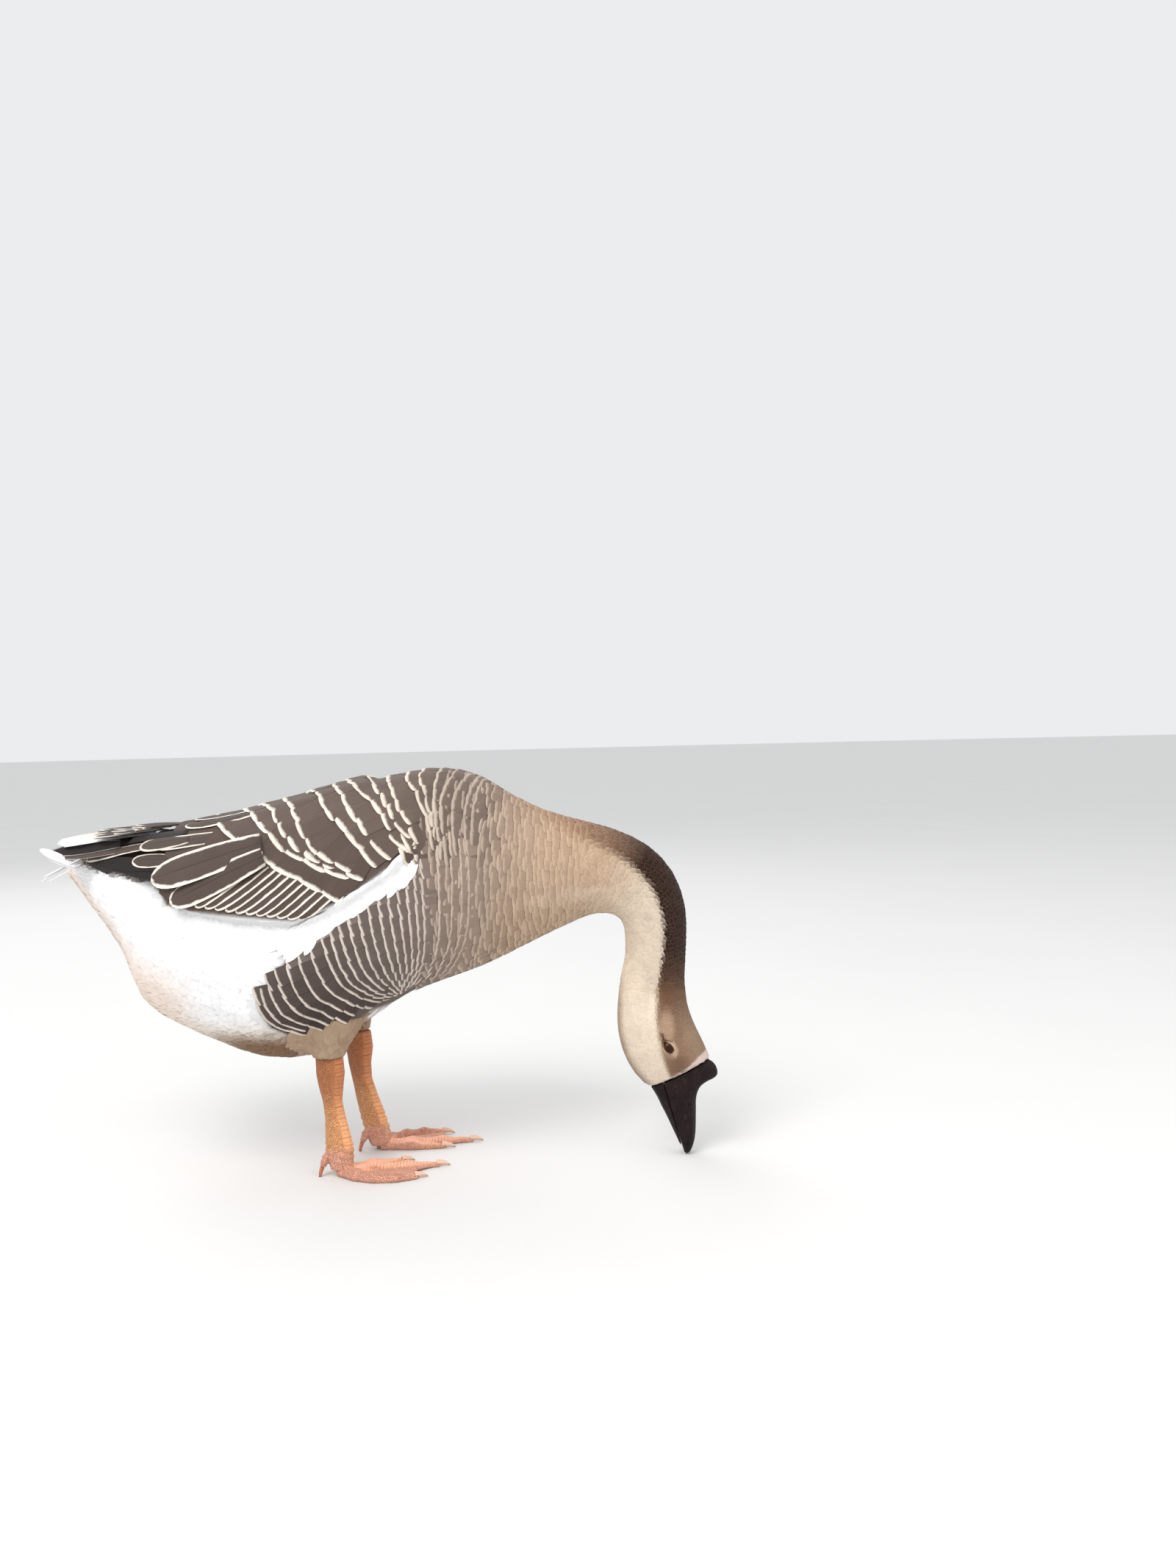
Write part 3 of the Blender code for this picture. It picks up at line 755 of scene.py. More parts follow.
    def colour(self, mesh: Mesh, size: int) -> None:
        """Writes each vane's marking into the mesh as attributes.

        Args:
            mesh: The mesh.
            size: The points in one vane.
        """
        ground = [(*look.ground, look.down) for look in self.looks]
        edge = [(*look.edge, look.rim) for look in self.looks]
        facts = [(look.tip, chance, 0, 1) for look, chance in zip(self.looks, self.chances)]
        inset = {shape: self.inset(shape) for shape in set(self.shapes)}
        for word, rows in (("ground", ground), ("edge", edge), ("facts", facts)):
            values = np.repeat(np.array(rows, np.float32), size, axis=0)
            if word == "facts":
                values[:, 2] = np.concatenate([inset[shape] for shape in self.shapes])
            paint(mesh, word, values)

    def inset(self, shape: float) -> np.ndarray:
        """How far each point of a vane lies from its outline.

        Args:
            shape: The vane's length over its width.

        Returns:
            The distance of each point, in half widths.
        """
        cut = self.cut
        if cut.barred:
            ends = np.linspace(cut.belly, 1, 120)
            halves = np.array([cut.half_width(end) for end in ends])
            found = []
            for across, along in self.faces()[1]:
                aside = abs(2 * across - 1) * (cut.half_width(along) if along < 1 else 0.0)
                end = np.interp(aside, halves[::-1], ends[::-1])
                found.append(max(end - along, 0.88 * (1 - along)) * shape * 2)
            return np.array(found, np.float32)
        shares = np.linspace(0, 1, 60)
        halves = np.array([cut.half_width(v) for v in shares])
        halves[-1] = 0.0
        outline = np.stack([halves, shares * shape * 2], 1)
        found = []
        for across, along in self.faces()[1]:
            middle = abs(2 * across - 1) * (cut.half_width(along) if along < 1 else 0.0)
            gaps = outline - np.array([middle, along * shape * 2])
            on_edge = along == 1 or across in (0.0, 1.0)
            found.append(0.0 if on_edge else float(np.sqrt((gaps**2).sum(1)).min()))
        return np.array(found, np.float32)

    def cells(self, side: int) -> np.ndarray:
        """Gives each vane a cell of its own, in the order of the roots on the skin.

        Args:
            side: How many cells a side of the map has.

        Returns:
            The low corner of each vane's cell.
        """
        homes = np.array(self.homes)
        order = np.argsort(homes[:, 1], kind="stable")
        found = np.zeros((len(homes), 2))
        for row in range(side):
            own = order[row * side:(row + 1) * side]
            for column, vane in enumerate(own[np.argsort(homes[own, 0], kind="stable")]):
                found[vane] = (column, row)
        return found / side

    def unwrap(self, mesh: Mesh, corners: np.ndarray, places: np.ndarray, count: int) -> None:
        """Gives the mesh its two maps: along each vane, and the patches for baking.

        Args:
            mesh: The mesh.
            corners: The corners of one vane's faces.
            places: Each point's place across and along the vane.
            count: How many vanes.
        """
        own = places[corners]
        vane = mesh.uv_layers.new(name="vane")
        vane.data.foreach_set("uv", np.tile(own, (count, 1)).astype(np.float32).ravel())
        if self.patch is None:
            side = math.ceil(math.sqrt(count))
            spread = (1 - 2 * self.CELL_MARGIN) / side
            start = self.cells(side) + self.CELL_MARGIN / side
        else:
            spread = self.patch
            start = np.array(self.homes) * (1 - spread)
        patches = start[:, None, :] + own[None, :, :] * spread
        bake = mesh.uv_layers.new(name="OFBake")
        bake.data.foreach_set("uv", patches.astype(np.float32).ravel())


# ---- finishes ----


class Nodes:
    """A short way to build the nodes of one material."""

    def __init__(self, name: str) -> None:
        """Makes the material.

        Args:
            name: Its name.
        """
        self.material = bpy.data.materials.new(name)
        self.material.use_nodes = True
        self.tree = self.material.node_tree
        self.shader = self.tree.nodes["Principled BSDF"]

    def node(self, kind: str, **settings: object) -> bpy.types.Node:
        """Adds a node with settings by name.

        Args:
            kind: The node's type.
            settings: Its settings.

        Returns:
            The node.
        """
        made = self.tree.nodes.new(kind)
        for word, value in settings.items():
            setattr(made, word, value)
        return made

    def plug(self, socket: Socket, value: Value | Colour) -> None:
        """Links a socket to another, or sets its value.

        Args:
            socket: The socket that gets it.
            value: Another socket, a number or a colour.
        """
        if isinstance(value, Socket):
            self.tree.links.new(value, socket)
        elif isinstance(value, tuple) and len(value) == 3 and socket.type == "RGBA":
            socket.default_value = (*value, 1.0)
        else:
            socket.default_value = value

    def sum(self, kind: str, first: Value, second: Value = 0.0, clamp: bool = False) -> Socket:
        """A Math node's result.

        Args:
            kind: The sum.
            first: Its first value.
            second: Its second value.
            clamp: Whether the result is kept from 0 to 1.

        Returns:
            The result.
        """
        made = self.node("ShaderNodeMath", operation=kind, use_clamp=clamp)
        self.plug(made.inputs[0], first)
        self.plug(made.inputs[1], second)
        return made.outputs[0]

    def blend(self, share: Value, first: Socket | Colour, second: Socket | Colour,
            kind: str = "MIX") -> Socket:
        """Mixes two colours by a share.

        Args:
            share: How much the second colour counts.
            first: The first colour.
            second: The second colour.
            kind: How they mix.

        Returns:
            The mixed colour.
        """
        made = self.node("ShaderNodeMix", data_type="RGBA", blend_type=kind)
        self.plug(made.inputs[0], share)
        self.plug(made.inputs[6], first)
        self.plug(made.inputs[7], second)
        return made.outputs[2]

    def spread(self, value: Socket, low: float, high: float, new: Pair) -> Socket:
        """Maps a value's range onto a new one.

        Args:
            value: The value.
            low: Where its range starts.
            high: Where it ends.
            new: The new range.

        Returns:
            The mapped value.
        """
        made = self.node("ShaderNodeMapRange")
        for place, number in enumerate((low, high, *new), 1):
            made.inputs[place].default_value = number
        self.plug(made.inputs[0], value)
        return made.outputs[0]

    def split(self, kind: str, value: Socket) -> bpy.types.NodeOutputs:
        """The parts of a colour or a vector.

        Args:
            kind: Color or XYZ.
            value: What is split.

        Returns:
            The parts.
        """
        made = self.node(f"ShaderNodeSeparate{kind}")
        self.plug(made.inputs[0], value)
        return made.outputs

    def shaded(self, colour: Socket, shade: Socket) -> Socket:
        """A colour made darker or lighter by a shade.

        Args:
            colour: The colour.
            shade: The shade; 1 changes nothing.

        Returns:
            The shaded colour.
        """
        grey = self.node("ShaderNodeCombineColor")
        for channel in range(3):
            self.plug(grey.inputs[channel], shade)
        return self.blend(1.0, colour, grey.outputs[0], "MULTIPLY")

    def place(self) -> Socket:
        """The place on the object, in metres."""
        return self.node("ShaderNodeTexCoord").outputs["Object"]

    def noise(self, scale: float, detail: float = 2.0, where: Socket | None = None) -> Socket:
        """A noise from 0 to 1 over the object.

        Args:
            scale: How close its grains are.
            detail: How many finer layers it has.
            where: Where it is read; None is the object's own place.

        Returns:
            The noise.
        """
        made = self.node("ShaderNodeTexNoise")
        self.plug(made.inputs["Vector"], where or self.place())
        made.inputs["Scale"].default_value = scale
        made.inputs["Detail"].default_value = detail
        return made.outputs["Fac"]

    def read(self, name: str) -> tuple[Socket, Socket]:
        """A colour attribute and its fourth number."""
        made = self.node("ShaderNodeAttribute", attribute_name=name)
        return made.outputs["Color"], made.outputs["Alpha"]

    def bump(self, height: Socket, depth: float, strength: float = 1.0) -> None:
        """Roughens the surface by a height.

        Args:
            height: The height.
            depth: What a height of 1 stands for, in metres.
            strength: How much of it shows.
        """
        made = self.node("ShaderNodeBump")
        made.inputs["Strength"].default_value = strength
        made.inputs["Distance"].default_value = depth
        self.plug(made.inputs["Height"], height)
        self.plug(self.shader.inputs["Normal"], made.outputs[0])

    def set(self, **inputs: Value | Colour) -> None:
        """Sets or links the shader's inputs by name."""
        for word, value in inputs.items():
            self.plug(self.shader.inputs[word.replace("_", " ")], value)


@dataclass(frozen=True)
class VaneFinish:
    """The finish of a feather, marked by its own attributes.

    Attributes:
        name: The material's name.
        barbs: How many barbs show along the vane.
        shaft: How much darker the shaft is than the vane.
        roughness: How dull the vane is.
        depth: How deep the barbs are.
        barred: Whether its fringe lies at the tip alone, with none down the sides.
        blur: How softly the fringe ends, as a share of its width.
    """

    name: str
    barbs: float = 30.0
    shaft: float = 0.0
    roughness: float = 0.7
    depth: float = 0.0003
    barred: bool = True
    blur: float = 0.4

    def build(self) -> Material:
        """Makes the material.

        Returns:
            The material.
        """
        n = Nodes(self.name)
        ground, down = n.read("ground")
        edge, rim = n.read("edge")
        tip, chance, inset = n.split("Color", n.read("facts")[0])
        uv = n.node("ShaderNodeUVMap", uv_map="vane")
        across, along, _ = n.split("XYZ", uv.outputs[0])
        side = n.sum("ABSOLUTE", n.sum("SUBTRACT", n.sum("MULTIPLY", across, 2.0), 1.0))
        if self.barred:
            wide = tip
        else:
            near_tip = n.spread(along, 0.6, 0.78, (0.0, 1.0))
            wide = n.sum("ADD", rim, n.sum("MULTIPLY", near_tip, n.sum("SUBTRACT", tip, rim)))
        ragged = n.spread(n.noise(90.0, 2.0), 0.3, 0.7, (0.74, 1.26))
        wide = n.sum("MULTIPLY", wide, ragged)
        soft = n.sum("ADD", n.sum("MULTIPLY", wide, self.blur), 0.01)
        fringe = n.sum("DIVIDE", n.sum("SUBTRACT", wide, inset), soft, clamp=True)
        shade = n.spread(along, 0.0, 1.0, (0.93, 1.04))
        vary = n.sum("MULTIPLY", n.sum("SUBTRACT", chance, 0.5), n.sum("SUBTRACT", 0.12,
            n.sum("MULTIPLY", down, 0.10)))
        shade = n.sum("MULTIPLY", shade, n.sum("ADD", vary, 1.0))
        shade = n.sum("MULTIPLY", shade, n.spread(n.noise(60.0), 0.3, 0.7, (0.95, 1.05)))
        barb_place = n.sum("SUBTRACT", along, n.sum("MULTIPLY", side, 0.18))
        barb = n.sum("SINE", n.sum("MULTIPLY", barb_place, self.barbs * 2 * math.pi))
        shade = n.sum("MULTIPLY", shade, n.spread(barb, -1.0, 1.0, (0.965, 1.035)))
        if self.shaft:
            shaft = n.spread(side, 0.015, 0.06, (1.0, 0.0))
            fade = n.spread(along, 0.75, 0.98, (1.0, 0.0))
            shaft = n.sum("MULTIPLY", shaft, fade)
            dark = n.spread(shaft, 0.0, 1.0, (1.0, 1.0 - self.shaft))
            shade = n.sum("MULTIPLY", shade, dark)
        colour = n.shaded(n.blend(fringe, ground, edge), shade)
        n.set(Base_Color=colour, Roughness=self.roughness, Specular_IOR_Level=0.16, Sheen_Weight=0.05,
            Sheen_Roughness=0.5)
        n.bump(n.sum("MULTIPLY", barb, n.sum("SUBTRACT", 1.0, down)), self.depth, 0.5)
        return n.material


@dataclass(frozen=True)
class SkinFinish:
    """The skin under the coat, of the coat's colours and covered in short down."""

    name: str = "downy_skin"

    def build(self) -> Material:
        """Makes the material.

        Returns:
            The material.
        """
        n = Nodes(self.name)
        ground, _ = n.read("ground")
        shade = n.spread(n.noise(500.0, 3.0), 0.3, 0.7, (0.86, 1.0))
        n.set(Base_Color=n.shaded(ground, shade), Roughness=0.85, Specular_IOR_Level=0.2)
        n.bump(n.noise(1200.0, 3.0), 0.0006, 0.6)
        return n.material


@dataclass(frozen=True)
class HornFinish:
    """Horn with a soft gloss, clouded and finely pitted.

    Attributes:
        name: The material's name.
        dark: The colour of its hollows.
        light: The colour of its clouds.
        roughness: From its shiniest to its dullest places.
        depth: How deep the pits are.
    """

    name: str
    dark: Colour
    light: Colour
    roughness: Pair = (0.34, 0.55)
    depth: float = 0.00025

    def build(self) -> Material:
        """Makes the material.

        Returns:
            The material.
        """
        n = Nodes(self.name)
        cloud = n.noise(70.0, 4.0)
        pits = n.noise(900.0, 3.0)
        share = n.spread(cloud, 0.35, 0.7, (0.0, 1.0))
        colour = n.blend(share, self.dark, self.light)
        scuffs = n.spread(n.noise(260.0, 5.0), 0.60, 0.74, (0.0, 0.25))
        colour = n.blend(scuffs, colour, mix(self.light, (0.5, 0.48, 0.46), 0.12))
        n.set(Base_Color=colour, Roughness=n.spread(pits, 0.3, 0.7, self.roughness),
            Specular_IOR_Level=0.18)
        n.bump(n.sum("ADD", pits, n.sum("MULTIPLY", cloud, 2.0)), self.depth, 0.6)
        return n.material


@dataclass(frozen=True)
class ClawFinish:
    """Pale horn that darkens at the point, which is lowest.

    Attributes:
        name: The material's name.
        pale: The colour of its root.
        point: Between which heights it darkens.
    """

    name: str = "claw_horn"
    pale: Hue = Hue.CLAW
    point: Pair = (0.0010, 0.0030)

    def build(self) -> Material:
        """Makes the material.

        Returns:
            The material.
        """
        n = Nodes(self.name)
        high = n.spread(n.split("XYZ", n.place())[2], *self.point, (0.0, 1.0))
        colour = n.blend(high, Hue.CLAW_TIP, self.pale)
        streaks = n.spread(n.noise(420.0, 4.0), 0.35, 0.7, (0.0, 0.5))
        colour = n.blend(streaks, colour, mix(self.pale, Hue.FOOT, 0.6))
        n.set(Base_Color=colour, Roughness=n.spread(n.noise(300.0), 0.3, 0.7, (0.36, 0.5)))
        n.bump(n.noise(600.0, 3.0), 0.0002, 0.5)
        return n.material


@dataclass(frozen=True)
class LegFinish:
    """Scaly leg skin: plates down the front and toes, small scales elsewhere."""

    name: str = "scaly_leg_skin"
    scale_size: float = 0.0019

    def build(self) -> Material:
        """Makes the material.

        Returns:
            The material.
        """
        n = Nodes(self.name)
        tone, plates = n.read("ground")
        cells = n.node("ShaderNodeTexVoronoi", feature="DISTANCE_TO_EDGE")
        n.plug(cells.inputs["Vector"], n.place())
        cells.inputs["Scale"].default_value = 1 / self.scale_size
        scale = n.spread(cells.outputs["Distance"], 0.0, 0.16, (0.0, 1.0))
        phase = n.sum("FRACT", n.split("Color", n.read("plates")[0])[0])
        away = n.sum("ABSOLUTE", n.sum("SUBTRACT", phase, 0.5))
        plate = n.spread(away, 0.34, 0.5, (1.0, 0.0))
        height = n.node("ShaderNodeMix")
        for place, value in ((0, plates), (2, scale), (3, plate)):
            n.plug(height.inputs[place], value)
        height = height.outputs[0]
        shade = n.spread(height, 0.0, 1.0, (0.66, 1.0))
        shade = n.sum("MULTIPLY", shade, n.spread(n.noise(180.0, 3.0), 0.3, 0.7, (0.9, 1.08)))
        n.set(Base_Color=n.shaded(tone, shade), Roughness=0.52, Subsurface_Weight=0.08,
            Subsurface_Scale=0.004)
        n.bump(height, 0.0009, 0.9)
        return n.material


@dataclass(frozen=True)
class EyeFinish:
    """A wet eye: a black pupil in a dark brown iris.

    Attributes:
        centre: The middle of the eyeball.
        axis: The way it looks.
        radius: Its radius.
    """

    centre: Point
    axis: Point
    radius: float
    name: str = "wet_eye"

    def build(self) -> Material:
        """Makes the material.

        Returns:
            The material.
        """
        n = Nodes(self.name)
        away = n.node("ShaderNodeVectorMath", operation="SUBTRACT")
        n.plug(away.inputs[0], n.place())
        away.inputs[1].default_value = self.centre
        facing = n.node("ShaderNodeVectorMath", operation="DOT_PRODUCT")
        n.plug(facing.inputs[0], away.outputs[0])
        facing.inputs[1].default_value = self.axis
        lean = n.sum("DIVIDE", facing.outputs["Value"], self.radius)
        rough = n.spread(n.noise(900.0), 0.3, 0.7, (-0.01, 0.01))
        ring = n.spread(n.sum("ADD", lean, rough), 0.83, 0.87, (0.0, 1.0))
        iris = n.blend(n.spread(lean, 0.55, 0.85, (0.0, 1.0)), Hue.IRIS_RIM, Hue.IRIS)
        n.set(Base_Color=n.blend(ring, iris, Hue.PUPIL), Roughness=0.22, Specular_IOR_Level=0.14)
        return n.material


# ---- markings ----


class Plumage:
    """The markings of the coat and the skin, by the place on the bird."""

    FLANK_END = (  # where the flank ends behind: heights, and x at each
        (0.150, 0.161, 0.180, 0.196, 0.215, 0.240, 0.258, 0.272, 0.285, 0.295, 0.310, 0.337),
        (-0.086, -0.107, -0.115, -0.115, -0.098, -0.078, -0.062, -0.040, -0.015, 0.004, 0.034, 0.044),
    )
    FLANK_BOTTOM = (  # where it ends below: x, and the height at each
        (-0.089, -0.064, -0.033, -0.011, 0.02, 0.05), (0.151, 0.150, 0.156, 0.167, 0.172, 0.160),
    )
    WING_EDGE = (  # the lower edge of the folded wing: x, and the height at each
        (-0.34, -0.303, -0.270, -0.2415, -0.229, -0.215, -0.2056, -0.176, -0.075, -0.036, -0.009,
         0.024, 0.042),
        (0.336, 0.320, 0.3135, 0.309, 0.3085, 0.298, 0.284, 0.279, 0.270, 0.285, 0.301, 0.324, 0.348),
    )

    def __init__(self, lay: Lay) -> None:
        """Remembers the line through the bird."""
        self.lay = lay

    def level(self, mark: float, **stations: float) -> float:
        """A number that changes along the line, given at stations by name."""
        marks = [self.lay.at(name) for name in stations]
        return float(np.interp(mark, marks, list(stations.values())))

    def look(self, place: Vector, down: float = 0.0) -> Look:
        """The marking of a feather with its middle at a place.

        Args:
            place: The place.
            down: How soft and open the vane is.

        Returns:
            The marking.
        """
        mark, angle = self.lay.locate(place)
        degrees = math.degrees(angle)
        if mark > self.lay.at("nape"):
            return self.head(place, mark, degrees)
        if mark > self.lay.at("crop"):
            return self.neck(place, mark, degrees)
        return self.body(place, degrees, down)

    def head(self, place: Vector, mark: float, degrees: float) -> Look:
        """Buff brown over the top, cream on cheek and throat, whitish round the bill; the tan underneath
        and the dark fold by the eye are painted shade.

        Args:
            place: Where the feather lies.
            mark: The distance along the line.
            degrees: The angle from the back.

        Returns:
            The marking.
        """
        border = self.level(mark, nape=83, cheeks=87, brow=93, lores=106, bill_root=122)
        face = ramp(degrees, border + 8, border - 8)
        colour = mix(Hue.CREAM, Hue.FACE, face)
        colour = mix(colour, Hue.CROWN, 0.8 * ramp(degrees, 62, 25))
        nape = self.level(mark, nape=0.85, cheeks=0.42, brow=0.0) * ramp(degrees, 86, 66)
        colour = mix(colour, Hue.NAPE, nape)
        # Painted shade: the underside of the head turns tan.
        colour = mix(colour, Hue.TAN, 0.7 * ramp(degrees, 150, 172))
        away = flat(place.x - 0.2892, place.z - 0.1168)
        loral = flat(place.x - 0.3000, place.z - 0.0985)
        colour = mix(colour, Hue.LORES, 0.55 * ramp(loral.length, 0.015, 0.003))
        tilted = flat(away.x * 0.8 + away.z * 0.6, away.x * 0.6 - away.z * 0.8)
        ring = math.hypot(tilted.x / 0.0082, tilted.z / 0.0118)
        if abs(place.y) > EYE_ASIDE:
            glow = math.hypot((place.x - 0.2880) / 0.0095, (place.z - 0.1380) / 0.0220)
            colour = mix(colour, Hue.FACE_GLOW, 0.6 * ramp(glow, 1.2, 0.4) * face)
            front = ramp(tilted.x, -0.004, 0.002)
            pale = (0.15 + 0.45 * front) * ramp(ring, 1.22, 0.95)
            colour = mix(colour, Hue.EYE_RING, pale)
            # Painted shade: a dark shadow of the lid's fold above and behind the eye.
            across, down = (place.x - 0.2846, place.z - 0.1262)
            crease = math.hypot((across * 0.96 + down * 0.28) / 0.0028,
                (across * 0.28 - down * 0.96) / 0.0084)
            colour = mix(colour, Hue.LID, 0.9 * ramp(crease, 1.25, 0.6))
        bill = before_bill(place)
        wide = 0.0010 + 0.0068 * ramp(place.x, 0.302, 0.328)
        colour = mix(colour, Hue.BILL_EDGE, 0.85 * ramp(bill, -wide - 0.0035, -wide))
        return Look(colour, mix(colour, Hue.WHITE, 0.1), tip=0.2)

    def neck(self, place: Vector, mark: float, degrees: float) -> Look:
        """A chocolate stripe down the back of a cream neck that turns buff at its base, with tan painted
        shade on its underside.

        Args:
            place: Where the feather lies.
            mark: The distance along the line.
            degrees: The angle from the back.

        Returns:
            The marking.
        """
        half = self.level(mark, crop=14, low_neck=24, fore_neck=34, bend_start=52, bend=70, bend_over=78,
            throat_top=81, nape=86)
        depth = self.level(mark, crop=0.1, low_neck=0.35, fore_neck=0.6, bend_start=0.85, bend=1.0)
        upright = self.level(mark, bend_start=0.0, bend=0.6, bend_over=1.0)
        soft = 14 - 8 * upright
        side = mix(Hue.BUFF, Hue.BREAST, self.level(mark, crop=1.0, low_neck=0.3, bend_start=0.0))
        side = mix(side, Hue.FORENECK, upright)
        front = ramp(degrees, 100, 130) * self.level(mark, neck_root=0.0, fore_neck=0.6, bend_start=0.6,
            bend=0.25, upper_neck=0.25, throat_top=1.0)
        side = mix(side, Hue.CREAM, front)
        slate = ramp(place.x, 0.135, 0.095) * ramp(degrees, 100, 50)
        side = mix(side, Hue.SLATE, 0.85 * slate)
        # Painted shade: the underside of the lower neck turns tan.
        under = ramp(degrees, 95, 140) * self.level(mark, crop=0.0, low_neck=0.6, fore_neck=0.7, bend=0.1)
        side = mix(side, Hue.TAN, under)
        stripe = depth * ramp(degrees, half + soft, half - soft)
        brown = mix(Hue.CHOCOLATE_LIGHT, Hue.CHOCOLATE, self.level(mark, fore_neck=0.0, bend=1.0))
        brown = mix(brown, Hue.NAPE, self.level(mark, upper_neck=0.0, nape=0.8))
        colour = mix(side, brown, stripe)
        pale = mix(Hue.BREAST_TIP, Hue.BUFF_TIP, self.level(mark, crop=0, low_neck=1))
        pale = mix(pale, Hue.CREAM, upright)
        plain = self.level(mark, crop=0.0, neck_root=0.3, low_neck=0.5, bend_start=0.6)
        pale = mix(mix(pale, side, plain), colour, 0.95 * stripe)
        tip = self.level(mark, crop=0.4, bend_start=0.45, bend=0.3)
        joining = self.level(mark, throat_top=0.0, nape=1.0)
        if joining > 0:
            head = self.head(place, mark, degrees).ground
            colour, pale = mix(colour, head, joining), mix(pale, head, joining)
        return Look(colour, pale, tip=tip)

    def body(self, place: Vector, degrees: float, down: float) -> Look:
        """Slate above, barred on the flank, buff at the breast and white behind; the white has painted
        shade low down and at the vent's rear edge.

        Args:
            place: Where the feather lies.
            degrees: The angle from the back.
            down: How soft the vane is.

        Returns:
            The marking.
        """
        white = self.white_share(place)
        breast = ramp(place.x, 0.015, 0.095)
        dark = mix(Hue.FLANK, Hue.FLANK_DARK, ramp(place.x, 0.02, -0.09))
        ground = mix(Hue.SLATE, dark, ramp(degrees, 70, 95))
        chest = mix(Hue.BREAST, Hue.SLATE, 0.85 * ramp(degrees, 95, 50))
        ground = mix(ground, chest, breast)
        # Painted shade: the lowest part of the belly turns brown.
        below = ramp(place.z, 0.162, 0.137) * ramp(place.x, -0.21, -0.13)
        shade = mix(Hue.WHITE, Hue.WHITE_SHADE, ramp(place.z, 0.175, 0.145))
        # Painted shade: the vent's white turns pinkish where it turns down and back.
        rear = ramp(degrees, 97, 135) * ramp(place.x, -0.16, -0.22)
        shade = mix(shade, Hue.VENT_PINK, 0.75 * rear)
        shade = mix(shade, Hue.BELLY, below)
        ground = mix(ground, shade, white)
        edge = mix(Hue.BACK_TIP, Hue.BREAST_TIP, breast * ramp(degrees, 50, 95))
        edge = mix(edge, Hue.WHITE, white)
        return Look(ground, edge, tip=0.36 * (1 - white), down=down)

    def white_share(self, place: Vector) -> float:
        """How white the coat is at a place of the body.

        Args:
            place: The place.

        Returns:
            The share of white, from 0 to 1.
        """
        border = np.interp(place.z, *self.FLANK_END)
        bottom = np.interp(place.x, *self.FLANK_BOTTOM)
        wing = np.interp(place.x, *self.WING_EDGE)
        behind = ramp(place.x, border + 0.003, border - 0.003)
        share = max(behind, ramp(place.z, bottom + 0.004, bottom - 0.004))
        return share * ramp(place.z, wing + 0.003, wing - 0.003)


# ---- skin and ring coats ----


@dataclass
class Skin:
    """The one skin of the bird, which lies under the coat.

    Attributes:
        flesh: The solids it stands for.
        wings: The folded wings, which it runs over.
        voxel: The fineness of its mesh.
    """

    flesh: tuple[str, ...] = ("trunk", "neck_base", "neck_bend", "neck_upper", "head", "thigh_right",
        "thigh_left")
    wings: tuple[str, ...] = ("wing_right", "wing_left")
    voxel: float = 0.0028

    THICK_SHARE = 0.36  # the skin sinks by no more of the body's thickness than this
    # painted shade: how much darker the skin is than the coat, where it shows between the feathers
    DARKER = 0.05

    def outer_form(self, name: str, nodes: tuple[str, ...], smooth: int = 5) -> Form:
        """The form of some solids joined and smoothed.

        Args:
            name: What to call the working copy.
            nodes: The solids.
            smooth: How many smoothing steps it gets.

        Returns:
            The form; the working copy is removed.
        """
        obj = joined_copy(name, nodes)
        remeshed(obj, self.voxel, smooth)
        form = Form(obj)
        bpy.data.objects.remove(obj)
        return form

    def build(self, plumage: Plumage) -> Piece:
        """Makes the skin with its markings.

        Args:
            plumage: The markings.

        Returns:
            The skin.
        """
        skin = joined_copy("skin", (*self.flesh, *self.wings))
        remeshed(skin, self.voxel, 4)
        form = Form(skin)
        mesh = skin.data
        colours, sunk = [], []
        for place, normal in zip(form.places, form.normals):
            mark, _ = plumage.lay.locate(place)
            depth = plumage.level(mark, paunch=0.0013, breast=0.0016, shoulders=0.0026, low_neck=0.0022,
                bend=0.0014, cheeks=0.0010)
            facing = form.tree.ray_cast(place - normal * 0.0004, -normal)[3]
            limit = self.THICK_SHARE * facing if facing else depth
            sunk.append(tuple(place - normal * min(depth, limit)))
            # Painted shade: the skin takes the coat's colour, darkened.
            colours.append((*mix(plumage.look(place).ground, (0.0, 0.0, 0.0), self.DARKER), 1.0))
        move(mesh, sunk)
        paint(mesh, "ground", colours)
        mesh.materials.append(SkinFinish().build())
        return skin


